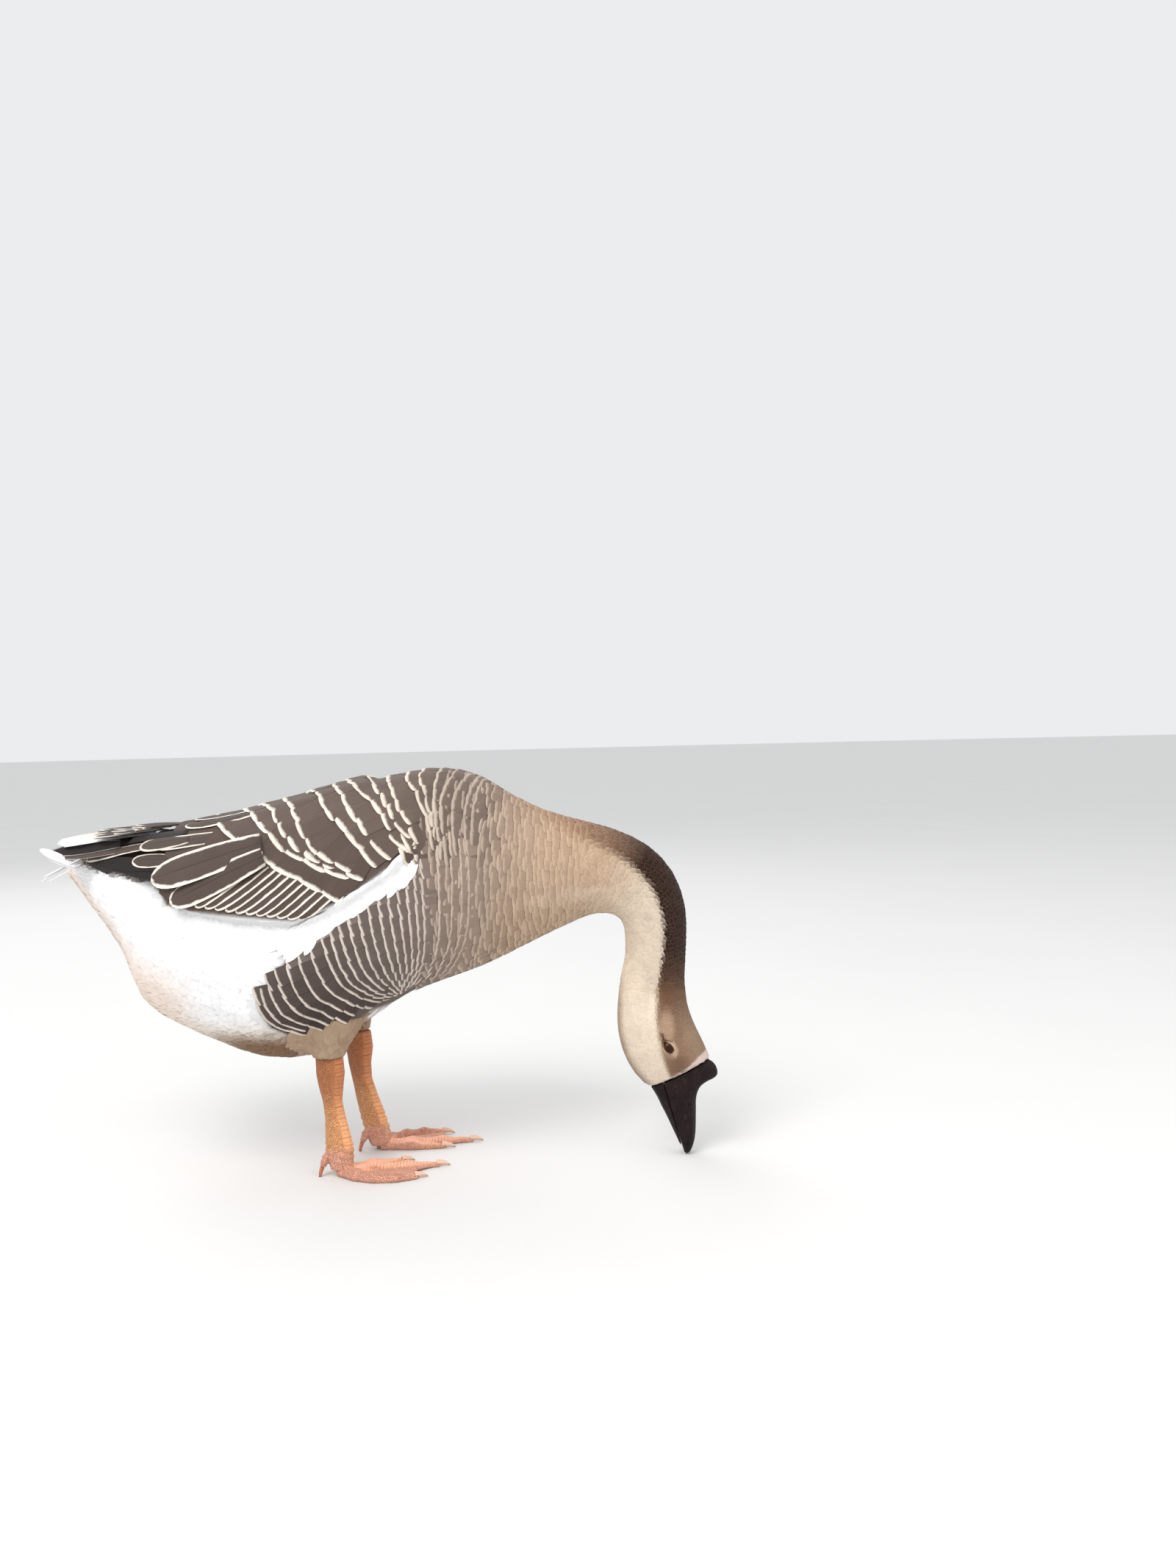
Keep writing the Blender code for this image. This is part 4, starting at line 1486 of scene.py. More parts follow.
class RingCoat:
    """Small feathers laid in rings round head, neck and breast."""

    SLIP = 0.07  # how far a root strays, in row spacings
    WAVE = 0.22  # how far the rings wave, in row spacings
    READ_AT = 0.7  # where along a feather its marking is read
    STRAY_SHARE = 0.006  # how many down feathers stand up

    def __init__(self, forms: dict[str, Form], plumage: Plumage) -> None:
        """Remembers what it is laid on."""
        self.forms, self.plumage, self.lay = forms, plumage, plumage.lay

    def rings(self, bed: Bed, form: Form, span: Pair, sizes: Callable[[float], Sizes], rise: Pair,
            keep: Callable[[Vector], bool], loose: float = 0.08, down: float = 0.0) -> None:
        """Lays the feathers of a band in staggered rings.

        Args:
            bed: Where they go.
            form: What they lie on.
            span: Where the band starts and ends along the line.
            sizes: Row spacing, spacing round, length and width, by the mark.
            rise: How high roots and tips lie.
            keep: Whether a root's place gets a feather.
            loose: How far a feather may turn from the lie, in radians.
            down: How soft the vanes are.
        """
        mark, row = span[0], 0
        total = self.lay.marks[-1]
        while mark < span[1]:
            step, gap, length, width = sizes(mark)
            tailward = self.lay.frame_at(mark)[2]
            for spot, angle in self.lay.ring(form, mark, gap, row % 2 / 2 + bed.draw.random() * 0.2):
                if not keep(spot[0]):
                    continue
                turn = bed.draw.gauss(0, loose)
                heading = Matrix.Rotation(turn, 3, spot[1]) @ tailward
                heading = heading - spot[1] * heading.dot(spot[1])
                if heading.length < 0.05:
                    continue
                heading.normalize()
                stray = bed.draw.uniform(-self.SLIP, self.SLIP)
                stray += self.WAVE * math.sin(9 * angle + 1.7 * row)
                spot = form.nearest(spot[0] + heading * step * stray)
                scale = bed.draw.uniform(0.9, 1.1)
                middle = spot[0] + heading * (length * self.READ_AT)
                look = self.plumage.look(middle, down)
                lift = bed.draw.uniform(-0.05, 0.05) * MILLIMETRE
                if down and bed.draw.random() < self.STRAY_SHARE:
                    lift += bed.draw.uniform(0.2, 0.5) * MILLIMETRE
                home = (angle / math.tau + 0.5, mark / total)
                bed.lay(form, spot, heading, (length * scale, width), (rise[0], rise[1] + lift), look,
                    home, roll=bed.draw.uniform(-0.015, 0.015))
            mark += step
            row += 1

    def head(self) -> Bed:
        """The short dense feathers of the head.

        Returns:
            The feathers, laid.
        """
        bed = Bed("head_feathers", Cut(5, 3, tip=0.6, base=0.6, crown=0.08), patch=SMALL_PATCH, seed=11)
        eye = EyeSet()

        def sizes(mark: float) -> Sizes:
            """The feathers' sizes at a mark.

            Args:
                mark: The ring's distance along the line.

            Returns:
                Row spacing, spacing round, length and width.
            """
            level = self.plumage.level
            row = level(mark, nape=2.8, cheeks=2.3, brow=1.9, lores=1.6, bill_root=1.4)
            long = level(mark, nape=8.0, cheeks=6.2, brow=4.8, lores=3.8, bill_root=3.2)
            return tuple(MILLIMETRE * v for v in (row, row * 1.05, long, row * 1.9))

        def keep(place: Vector) -> bool:
            """Whether a root's place gets a feather."""
            return before_bill(place) < -0.0006 and not eye.covers(place)

        span = (self.lay.at("nape") - 0.006, self.lay.at("bill_root") + 0.004)
        self.rings(bed, self.forms["body"], span, sizes, (-0.0008, -0.0001), keep, loose=0.08)
        return bed

    def neck(self) -> Bed:
        """The feathers of the neck.

        Returns:
            The feathers, laid.
        """
        bed = Bed("neck_feathers", Cut(6, 3, tip=0.55, base=0.6, crown=0.03, droop=1.0),
            patch=SMALL_PATCH, seed=12)

        def sizes(mark: float) -> Sizes:
            """The feathers' sizes at a mark.

            Args:
                mark: The ring's distance along the line.

            Returns:
                Row spacing, spacing round, length and width.
            """
            level = self.plumage.level
            row = level(mark, fore_neck=5.8, bend_start=4.9, bend=4.1, upper_neck=3.6, nape=2.8)
            long = level(mark, fore_neck=21, bend_start=18, bend=15, upper_neck=13, nape=9)
            return tuple(MILLIMETRE * v for v in (row, row * 1.05, long, row * 2.1))

        span = (self.lay.at("bend_start") - 0.01, self.lay.at("nape"))
        self.rings(bed, self.forms["body"], span, sizes, (-0.0016, -0.0003), lambda place: True,
            loose=0.05)
        return bed

    def breast(self) -> Bed:
        """The pale-tipped feathers of the breast and the base of the neck.

        Returns:
            The feathers, laid.
        """
        bed = Bed("breast_feathers", Cut(8, 5, tip=1.0, square=3.2, base=0.6, belly=0.88,
            crown=0.0, thick=0.0003, droop=1.0, gather=1.9, barred=True), seed=13)

        def sizes(mark: float) -> Sizes:
            """The feathers' sizes at a mark.

            Args:
                mark: The ring's distance along the line.

            Returns:
                Row spacing, spacing round, length and width.
            """
            level = self.plumage.level
            row = level(mark, shoulders=7.6, neck_root=6.8, low_neck=6.2, fore_neck=5.6, bend_start=5.0)
            long = level(mark, shoulders=28, low_neck=25, bend_start=19)
            return tuple(MILLIMETRE * v for v in (row, row * 1.6, long, row * 2.7))

        def keep(place: Vector) -> bool:
            """Whether a root's place gets a feather.

            Args:
                place: The root's place.

            Returns:
                True where it does.
            """
            front = np.interp(place.z, (0.18, 0.20, 0.24, 0.29, 0.32, 0.345, 0.37, 0.41),
                (0.045, 0.058, 0.072, 0.074, 0.062, 0.060, 0.080, 0.098))
            return place.x > front

        span = (self.lay.at("keel"), self.lay.at("bend_start") - 0.004)
        self.rings(bed, self.forms["wing"], span, sizes, (-0.0020, -0.0001), keep, loose=0.05)
        return bed

    def down(self) -> Bed:
        """The soft white feathers of the belly and vent.

        Returns:
            The feathers, laid.
        """
        bed = Bed("belly_down", Cut(6, 3, tip=0.5, base=0.6, crown=0.0, thick=0.0002,
            droop=1.0, gather=1.3), patch=SMALL_PATCH, seed=14)

        def sizes(mark: float) -> Sizes:
            """The feathers' sizes at a mark.

            Args:
                mark: The ring's distance along the line.

            Returns:
                Row spacing, spacing round, length and width.
            """
            level = self.plumage.level
            row = level(mark, vent_tip=4.0, vent=4.5, paunch=4.6, breast=4.8)
            return tuple(MILLIMETRE * v for v in (row, row, row * 4.4, row * 2.1))

        span = (self.lay.at("vent_tip") + 0.006, self.lay.at("breast"))
        self.rings(bed, self.forms["body"], span, sizes, (-0.0024, -0.0003),
            lambda place: self.plumage.white_share(place) > 0.2, loose=0.12, down=1.0)
        return bed


# ---- rows of large feathers ----


class Side(Enum):
    """A side of the bird, by the sign of its Y."""

    RIGHT = -1
    LEFT = 1

    @property
    def word(self) -> str:
        """Its word in names."""
        return self.name.lower()

    def put(self, point: Point) -> Vector:
        """A point given for the right side, on this side."""
        return Vector((point[0], -self.value * point[1], point[2]))


@dataclass
class RowCoat:
    """Feathers in rows whose tips keep to guide lines, on one side.

    Attributes:
        form: What they lie on.
        side: Which side.
        guides: Lines of tips, from the tail forwards.
        stops: Where each row lies between the guides.
        spacing: The distance between tips along a row, by the row's share.
        length: The feathers' length, by the row's share.
        width: Their width as a share of the spacing.
        rise: How high roots and tips lie.
        sideways: Whether the rows are drawn as seen from the side.
        roll: How much each feather's lower edge is raised, as shingles lie.
    """

    form: Form
    side: Side
    guides: list[list[Point]]
    stops: list[float]
    spacing: Pair
    length: Pair
    width: float = 1.35
    rise: Pair = (-0.003, 0.0)
    sideways: bool = False
    roll: float = 0.05

    SAMPLES = 24  # steps along a row when its length is taken
    AHEAD = 0.12  # how far over the rows the lie is read, to each side
    BESIDE = 0.04  # how far along a row its direction is read, to each side
    LEAN = 0.25  # how much the lie turns a feather from square to its row

    def place(self, u: float, v: float) -> Vector:
        """A point of the rows: u along a row, v between the guides."""
        lines = [between([self.side.put(p) for p in guide], u) for guide in self.guides]
        return between(lines, v / (len(lines) - 1))

    def settle(self, place: Vector) -> Spot:
        """The spot of the form at a place, found from the side where rows are drawn so.

        Args:
            place: A place near the form.

        Returns:
            The spot.
        """
        if self.sideways:
            start = Vector((place.x, self.side.value * 0.4, place.z))
            hit = self.form.cast(start, Vector((0, -self.side.value, 0)))
            if hit:
                return hit
        return self.form.nearest(place)

    def lay(self, bed: Bed, look: Callable[[Vector, float, float], Look], loose: float = 0.05) -> None:
        """Lays every row.

        Args:
            bed: Where the feathers go.
            look: The marking, by the tip's place, u and the row's share.
            loose: How far a feather may turn from the lie.
        """
        last = self.stops[-1]
        for row, v in enumerate(self.stops):
            share = row / max(len(self.stops) - 1, 1)
            gap = self.spacing[0] + (self.spacing[1] - self.spacing[0]) * share
            long = self.length[0] + (self.length[1] - self.length[0]) * share
            shares = [i / self.SAMPLES for i in range(self.SAMPLES + 1)]
            reach = reaches([self.settle(self.place(u, v))[0] for u in shares])
            count = max(round(reach[-1] / gap), 2)
            for k in range(count + 1):
                along = (k + (0.5 if row % 2 else 0.0)) / count
                if along > 1:
                    continue
                along = min(max(along + bed.draw.uniform(-0.12, 0.12) / count, 0.0), 1.0)
                u = float(np.interp(along * reach[-1], reach, shares))
                ahead = self.place(u, min(v + self.AHEAD, last))
                behind = self.place(u, max(v - self.AHEAD, 0))
                tip = self.settle(self.place(u, v))
                turn = Matrix.Rotation(bed.draw.gauss(0, loose), 3, tip[1])
                along_row = self.place(min(u + self.BESIDE, 1.0), v)
                along_row -= self.place(max(u - self.BESIDE, 0.0), v)
                square = along_row.cross(tip[1]).normalized()
                square *= math.copysign(1.0, square.dot(behind - ahead))
                heading = turn @ (square + self.LEAN * (behind - ahead).normalized())
                scale = bed.draw.uniform(0.94, 1.06)
                root, back = self.form.march(tip, -heading, long * scale * 0.98, 8)
                lift = bed.draw.uniform(-0.1, 0.15) * MILLIMETRE
                bed.lay(self.form, root, -back, (long * scale, gap * self.width),
                    (self.rise[0], self.rise[1] + lift), look(tip[0], u, share), home=(u, share),
                    roll=-self.side.value * self.roll)


class Body:
    """The rowed feathers of flank and mantle."""

    FLANK = [[(-0.117, 0, 0.196), (-0.114, 0, 0.180), (-0.103, 0, 0.164), (-0.082, 0, 0.154)],
        [(-0.052, 0, 0.266), (-0.045, 0, 0.233), (-0.032, 0, 0.202), (-0.004, 0, 0.178)],
        [(0.046, 0, 0.338), (0.048, 0, 0.290), (0.047, 0, 0.240), (0.036, 0, 0.198)],
        [(0.090, 0, 0.345), (0.092, 0, 0.292), (0.085, 0, 0.240), (0.066, 0, 0.205)]]
    MANTLE = [
        [(-0.175, -0.006, 0.368), (-0.161, -0.047, 0.358), (-0.132, -0.072, 0.343),
         (-0.093, -0.094, 0.319), (-0.064, -0.103, 0.305), (-0.039, -0.111, 0.292)],
        [(-0.150, -0.004, 0.378), (-0.132, -0.036, 0.371), (-0.110, -0.068, 0.353),
         (-0.084, -0.086, 0.334), (-0.048, -0.101, 0.318), (-0.022, -0.108, 0.310)],
        [(-0.108, -0.004, 0.387), (-0.092, -0.038, 0.379), (-0.077, -0.070, 0.358),
         (-0.061, -0.088, 0.339), (-0.043, -0.098, 0.326), (-0.018, -0.105, 0.314)],
        [(-0.078, -0.004, 0.395), (-0.066, -0.029, 0.390), (-0.051, -0.062, 0.374),
         (-0.034, -0.079, 0.360), (-0.020, -0.092, 0.345), (-0.006, -0.101, 0.330)],
        [(-0.058, -0.004, 0.399), (-0.046, -0.030, 0.394), (-0.027, -0.070, 0.374),
         (-0.011, -0.088, 0.355), (-0.003, -0.094, 0.346), (0.008, -0.100, 0.332)],
        [(-0.040, -0.004, 0.402), (-0.030, -0.030, 0.397), (-0.016, -0.053, 0.390),
         (0.005, -0.077, 0.371), (0.018, -0.092, 0.349), (0.031, -0.100, 0.329)],
        [(0.003, -0.004, 0.405), (0.006, -0.023, 0.402), (0.014, -0.050, 0.392),
         (0.024, -0.075, 0.376), (0.034, -0.087, 0.359), (0.043, -0.095, 0.334)],
        [(0.025, -0.004, 0.410), (0.027, -0.033, 0.402), (0.038, -0.054, 0.390),
         (0.044, -0.066, 0.378), (0.051, -0.076, 0.363), (0.058, -0.088, 0.336)],
        [(0.075, -0.004, 0.405), (0.070, -0.035, 0.398), (0.066, -0.053, 0.391),
         (0.064, -0.066, 0.376), (0.067, -0.080, 0.356), (0.072, -0.092, 0.328)],
        [(0.104, -0.004, 0.399), (0.100, -0.030, 0.393), (0.098, -0.046, 0.384),
         (0.096, -0.060, 0.370), (0.096, -0.070, 0.356), (0.096, -0.078, 0.340)],
    ]

    def __init__(self, forms: dict[str, Form]) -> None:
        """Remembers the forms they lie on."""
        self.forms = forms

    def flank_look(self, tip: Vector, u: float, share: float) -> Look:
        """The barred flank, darkest behind and below.

        Args:
            tip: The tip's place.
            u: How far along its row the feather lies, from 0 to 1.
            share: The row's share of the rows, from 0 to 1.

        Returns:
            The feather's marking.
        """
        dark = ramp(share, 0.75, 0.1) * (0.55 + 0.45 * u)
        ground = mix(Hue.FLANK, Hue.FLANK_DARK, dark)
        front = ramp(tip.x, 0.015, 0.095)
        ground = mix(ground, Hue.BREAST, front)
        by_border = ramp(u, 0.22, 0.0) * ramp(share, 0.1, 0.4) * ramp(tip.x, 0.04, 0.01)
        ground = mix(ground, Hue.FLANK_TIP, 0.45 * by_border)
        edge = mix(Hue.FLANK_TIP, Hue.BREAST_TIP, front)
        return Look(ground, edge, tip=0.31)

    def flank(self, side: Side) -> Bed:
        """The flank of one side.

        Args:
            side: Which side.

        Returns:
            The feathers, laid.
        """
        bed = Bed(f"flank_feathers_{side.word}", Cut(10, 7, tip=1.0, square=4.2,
            base=0.6, belly=0.93, crown=0.02, gather=2.3, barred=True), seed=20 + side.value)
        stops = [i / 7 for i in range(7)] + [1 + i / 11 for i in range(12)] + [2.25, 2.5, 2.75, 3.0]
        rows = RowCoat(self.forms["body"], side, self.FLANK, stops, (0.0145, 0.0120), (0.036, 0.030),
            1.35, (-0.0024, 0.0), sideways=True, roll=0.03)
        rows.lay(bed, self.flank_look)
        return bed

    def mantle(self, side: Side) -> Bed:
        """The mantle and scapulars of one side.

        Args:
            side: Which side.

        Returns:
            The feathers, laid.
        """
        bed = Bed(f"mantle_feathers_{side.word}", Cut(12, 7, tip=1.0, square=3.6,
            base=0.6, belly=0.91, crown=0.04, gather=2.2, barred=True), seed=30 + side.value)
        stops = [0, 1, 1.5, 2, 3, 4, 5, 5.5, 6, 7, 7.35, 7.7, 8, 8.35, 8.7, 9]

        def look(tip: Vector, u: float, share: float) -> Look:
            """The marking, which darkens low down and browns towards the breast.

            Args:
                tip: The tip's place.
                u: How far along its row the feather lies, from 0 to 1.
                share: The row's share of the rows, from 0 to 1.

            Returns:
                The feather's marking.
            """
            ground = mix(Hue.SLATE, Hue.MANTLE, share)
            ground = mix(ground, Hue.SLATE_DARK, 0.4 * ramp(tip.z, 0.36, 0.31))
            ground = mix(ground, Hue.BREAST, 0.35 * ramp(tip.x, 0.05, 0.10))
            edge = mix(Hue.EDGE, Hue.EDGE_DULL, share)
            edge = mix(edge, Hue.MANTLE_TIP, ramp(tip.x, 0.03, 0.08))
            return Look(ground, edge, tip=0.25 + 0.12 * share + 0.08 * bed.draw.random())

        rows = RowCoat(self.forms["wing"], side, self.MANTLE, stops, (0.0270, 0.0125), (0.062, 0.028),
            1.35, (-0.0030, 0.0), roll=0.02)
        rows.lay(bed, look, loose=0.04)
        return bed

    def border(self, side: Side) -> Bed:
        """The soft white feathers of the flank that lap up over the wing's edge.

        Args:
            side: Which side.

        Returns:
            The feathers, laid.
        """
        bed = Bed(f"flank_border_{side.word}", Cut(7, 3, tip=0.6, base=0.5, crown=0.03,
            thick=0.0003, gather=1.3), patch=SMALL_PATCH, seed=40 + side.value)
        upper = [side.put(p) for p in ((0.036, -0.096, 0.340), (0.020, -0.106, 0.318),
            (-0.009, -0.110, 0.299), (-0.036, -0.112, 0.283), (-0.066, -0.108, 0.268),
            (-0.080, -0.105, 0.258))]
        lower = [side.put(p) for p in ((0.046, -0.094, 0.332), (0.033, -0.104, 0.315),
            (0.007, -0.110, 0.298), (-0.015, -0.112, 0.284), (-0.045, -0.108, 0.265),
            (-0.064, -0.105, 0.250))]
        out = Vector((0, side.value, 0))
        rows, columns = 5, 58
        for row in range(rows):
            for k in range(columns):
                share = (k + row % 2 / 2 + bed.draw.uniform(-0.3, 0.3)) / (columns - 1)
                low, high = between(lower, share), between(upper, share)
                ahead = between(lower, max(share - 0.06, 0)) - between(lower, min(share + 0.06, 1))
                place = low.lerp(high, row / (rows - 1) * 0.8)
                hit = self.forms["wing"].cast(place + out * 0.3, -out)
                if hit is None:
                    continue
                lean = Matrix.Rotation(side.value * bed.draw.gauss(0.16 - 0.05 * row, 0.10), 3, "Y")
                look = Look(mix(Hue.WHITE, Hue.WHITE_SHADE, 0.15 * bed.draw.random()), Hue.WHITE,
                    down=1.0)
                bed.lay(self.forms["wing"], hit, lean @ -ahead.normalized(),
                    (bed.draw.uniform(0.022, 0.030), 0.0080), (-0.0010,
                    0.0006 + bed.draw.uniform(0, 0.0002)), look, home=(0.25 + 0.5 * (side.value > 0) +
                    0.04 * row, 0.4 + 0.2 * share))
        return bed


class WingFeathers:
    """The flight feathers of one folded wing."""

    SECONDARY_TIPS = ((-0.172, -0.098, 0.283), (-0.070, -0.111, 0.271))
    TERTIALS = (((-0.199, -0.094, 0.289), (-0.108, -0.097, 0.334), 0.030),
        ((-0.219, -0.084, 0.3095), (-0.112, -0.082, 0.346), 0.037),
        ((-0.2248, -0.058, 0.341), (-0.150, -0.057, 0.3545), 0.020),
        ((-0.200, -0.032, 0.358), (-0.120, -0.030, 0.378), 0.024),
        ((-0.196, -0.011, 0.364), (-0.120, -0.011, 0.381), 0.026))
    PRIMARIES = (
        ((-0.303, -0.042, 0.3215), (-0.195, -0.080, 0.3125), 0.0160, 0.00),
        ((-0.296, -0.045, 0.3250), (-0.200, -0.075, 0.3220), 0.0160, 0.00),
        ((-0.2440, -0.062, 0.3250), (-0.195, -0.078, 0.3330), 0.0180, 0.18),
        ((-0.300, -0.042, 0.3265), (-0.225, -0.055, 0.3440), 0.0135, 0.22),
        ((-0.260, -0.045, 0.3500), (-0.195, -0.045, 0.3600), 0.0150, 0.00),
        ((-0.239, -0.055, 0.3390), (-0.190, -0.058, 0.3530), 0.0220, 0.20),
    )

    def __init__(self, forms: dict[str, Form]) -> None:
        """Remembers the forms they lie on."""
        self.forms = forms

    def flight(self, side: Side) -> Bed:
        """The dark primaries, with thin pale tips.

        Args:
            side: Which side.

        Returns:
            The feathers, laid.
        """
        bed = Bed(f"primary_feathers_{side.word}", Cut(16, 7, tip=0.9, base=0.7,
            belly=0.6, crown=0.09, thick=0.0009), seed=50 + side.value)
        for k, (tip, root, width, rim) in enumerate(self.PRIMARIES):
            look = Look(mix(Hue.INK, Hue.SLATE, 4 * rim), Hue.EDGE, rim=rim, tip=1.4 * rim)
            lift = (-1.6 + 0.5 * k) * MILLIMETRE
            self.stretch(bed, self.forms["flight"], side, tip, root, width, lift, look, 0.08)
        return bed

    def folded(self, side: Side) -> Bed:
        """The secondaries and tertials.

        Args:
            side: Which side.

        Returns:
            The feathers, laid.
        """
        bed = Bed(f"wing_feathers_{side.word}", Cut(15, 7, tip=1.0, square=2.9, base=0.7,
            belly=0.66, crown=0.10, thick=0.0008), seed=60 + side.value)
        first, last = (Vector(p) for p in self.SECONDARY_TIPS)
        count = 10
        for k in range(count, -1, -1):
            tip = first.lerp(last, k / count)
            root = tip + Vector((0.056, 0.0, 0.050))
            look = Look(mix(Hue.SLATE, Hue.SLATE_DARK, 0.4), Hue.EDGE, rim=0.34, tip=0.30)
            lift = (0.2 - 0.06 * k) * MILLIMETRE
            self.stretch(bed, self.forms["wing"], side, tuple(tip), tuple(root), 0.0150, lift, look, 0.16)
        for k, (tip, root, width) in enumerate(self.TERTIALS):
            look = Look(mix(Hue.SLATE, Hue.SLATE_DARK, 0.5), Hue.EDGE, rim=0.21, tip=0.23)
            form = self.forms["wing"] if k > 2 else self.blade(side, tip, root)
            lift = (0.4, 2.4, 0.8, 0.0, 0.0)[k] * MILLIMETRE
            self.stretch(bed, form, side, tip, root, width, lift, look, 0.06)
        return bed

    def blade(self, side: Side, tip: Point, root: Point) -> Plane:
        """A flat place along the wing that just clears its swell.

        Args:
            side: Which side.
            tip: Where the feather on it ends.
            root: Where it starts.

        Returns:
            The plane.
        """
        start, end = side.put(root), side.put(tip)
        _, normal = self.forms["wing"].nearest(start.lerp(end, 0.6))
        along = (end - start).normalized()
        normal = laid(normal, along)
        clear = 0.0
        for share in (0.4, 0.55, 0.7, 0.85, 0.93):
            place = start.lerp(end, share)
            clear = max(clear, (self.forms["wing"].nearest(place)[0] - place).dot(normal))
        return Plane(start + normal * min(clear, 0.006), normal)

    def stretch(self, bed: Bed, form: Form, side: Side, tip: Point, root: Point, width: float,
            lift: float, look: Look, roll: float) -> None:
        """Lays a feather between two points.

        Args:
            bed: Where it goes.
            form: What it lies on.
            side: Which side.
            tip: Its tip.
            root: Its root.
            width: Its width.
            lift: How high it lies.
            look: Its marking.
            roll: How much its lower edge is raised.
        """
        start, end = form.nearest(side.put(root)), side.put(tip)
        heading = (end - start[0]).normalized()
        bed.lay(form, start, heading, ((end - start[0]).length, width),
            (lift - (0.0015 if isinstance(form, Form) else 0.006), lift), look, home=(-tip[0], tip[2]),
            roll=-side.value * roll)


@dataclass
class Tail:
    """The short fanned tail.

    Attributes:
        pivot: The x and z of the middle of the fan.
        reach: How far the feathers reach from it.
        root: Where they start.
        spread: Half the fan's angle, in degrees.
        droop: How much the fan falls to the sides.
        slope: How much it falls to the rear.
        tip_fall: How much further the tips fall.
        pairs: How many pairs of feathers.
    """

    pivot: Pair = (-0.1884, 0.3640)
    reach: float = 0.153
    root: float = 0.050
    spread: float = 22.0
    droop: float = 0.07
    slope: float = 0.065
    tip_fall: float = 0.006
    pairs: int = 8

    def roof(self, out: float, turn: float) -> Vector:
        """A point of the fan by its distance from the pivot and its turn.

        Args:
            out: How far it is from the pivot.
            turn: Its turn, in radians.

        Returns:
            The point.
        """
        y = out * math.sin(turn)
        fall = self.slope * out + self.droop * abs(y) + self.tip_fall * (out / self.reach) ** 4
        return Vector((self.pivot[0] - out * math.cos(turn), y, self.pivot[1] - fall))

    def form(self) -> Form:
        """The fan as a form.

        Returns:
            The form.
        """
        steps, turns = 20, 25
        most = math.radians(self.spread + 14)
        mesh = bpy.data.meshes.new("fan")
        points = [self.roof(0.02 + 0.145 * i / steps, most * (2 * k / (turns - 1) - 1)) for i in
            range(steps + 1) for k in range(turns)]
        faces = [(i * turns + k, i * turns + k + 1, (i + 1) * turns + k + 1,
            (i + 1) * turns + k) for i in range(steps) for k in range(turns - 1)]
        mesh.from_pydata(points, [], faces)
        obj = bpy.data.objects.new("fan", mesh)
        form = Form(obj)
        if form.normals[0].z < 0:
            form.normals = [-n for n in form.normals]
        bpy.data.objects.remove(obj)
        return form

    def build(self) -> Bed:
        """Lays the tail feathers and the coverts over their roots.

        Returns:
            The feathers, laid.
        """
        form = self.form()
        bed = Bed("tail_feathers", Cut(16, 7, tip=0.75, base=0.65, belly=0.6, crown=0.10,
            thick=0.0008), seed=71)
        for k in range(self.pairs - 1, -1, -1):
            for sign in (-1, 1):
                turn = sign * math.radians(self.spread) * (k + 0.4) / (self.pairs - 0.6)
                ground = mix(Hue.CREAM, Hue.WHITE, 0.3 + 0.1 * k)
                look = Look(ground, Hue.WHITE, rim=0.16, tip=0.4)
                long = self.reach - self.root - 0.012 * (turn / math.radians(self.spread)) ** 2
                self.fan(bed, form, turn, self.root, long, 0.0200,
                    (-0.0042 - 0.0002 * k, -0.0008 - 0.00045 * k), look)
        for row, (start, long, white) in enumerate(((0.048, 0.064, 0.0), (0.036, 0.058, 0.25),
                (0.024, 0.050, 0.0), (0.012, 0.046, 0.0))):
            count = 7 - row % 2
            for k in range(count):
                share = (2 * (k + 0.5) / count - 1)
                turn = share * math.radians(self.spread + 12 + 5 * row)
                pale = white * (k % 2)
                ground = mix(Hue.SLATE_DARK, Hue.WHITE, pale)
                look = Look(ground, Hue.EDGE, rim=0.07, tip=0.26)
                self.fan(bed, form, turn, start, long, 0.022, (-0.0012, 0.0008 + 0.0004 * row), look)
        self.corners(bed)
        return bed

    def corners(self, bed: Bed) -> None:
        """Lays the dark and white feathers and the wisps at the tail's two corners.

        Args:
            bed: Where they go.
        """
        for side in Side:
            lines = (  # root, tip, width, colour
                ((-0.262, -0.047, 0.3450), (-0.334, -0.052, 0.3372), 0.0150, Hue.INK),
                ((-0.262, -0.050, 0.3390), (-0.324, -0.054, 0.3335), 0.0130, Hue.SLATE),
                ((-0.303, -0.056, 0.3240), (-0.339, -0.058, 0.3420), 0.0095, Hue.WHITE),
                ((-0.301, -0.056, 0.3215), (-0.333, -0.058, 0.3360), 0.0085, Hue.WHITE),
                ((-0.302, -0.056, 0.3300), (-0.340, -0.059, 0.3090), 0.0020, Hue.WHITE),
                ((-0.300, -0.057, 0.3310), (-0.336, -0.060, 0.3140), 0.0017, Hue.WHITE),
                ((-0.299, -0.057, 0.3260), (-0.332, -0.060, 0.3090), 0.0015, Hue.WHITE),
            )
            for root, tip, width, hue in lines:
                start, end = side.put(root), side.put(tip)
                heading = end - start
                normal = Vector((0, 0.75 * side.value, 0.65))
                normal -= heading * (normal.dot(heading) / heading.length_squared)
                look = Look(hue, mix(hue, Hue.WHITE, 0.4), rim=0.1, tip=0.2)
                bed.lay(Plane(start, normal), (start, normal.normalized()), heading.normalized(),
                    (heading.length, width), (0.0, 0.0), look)

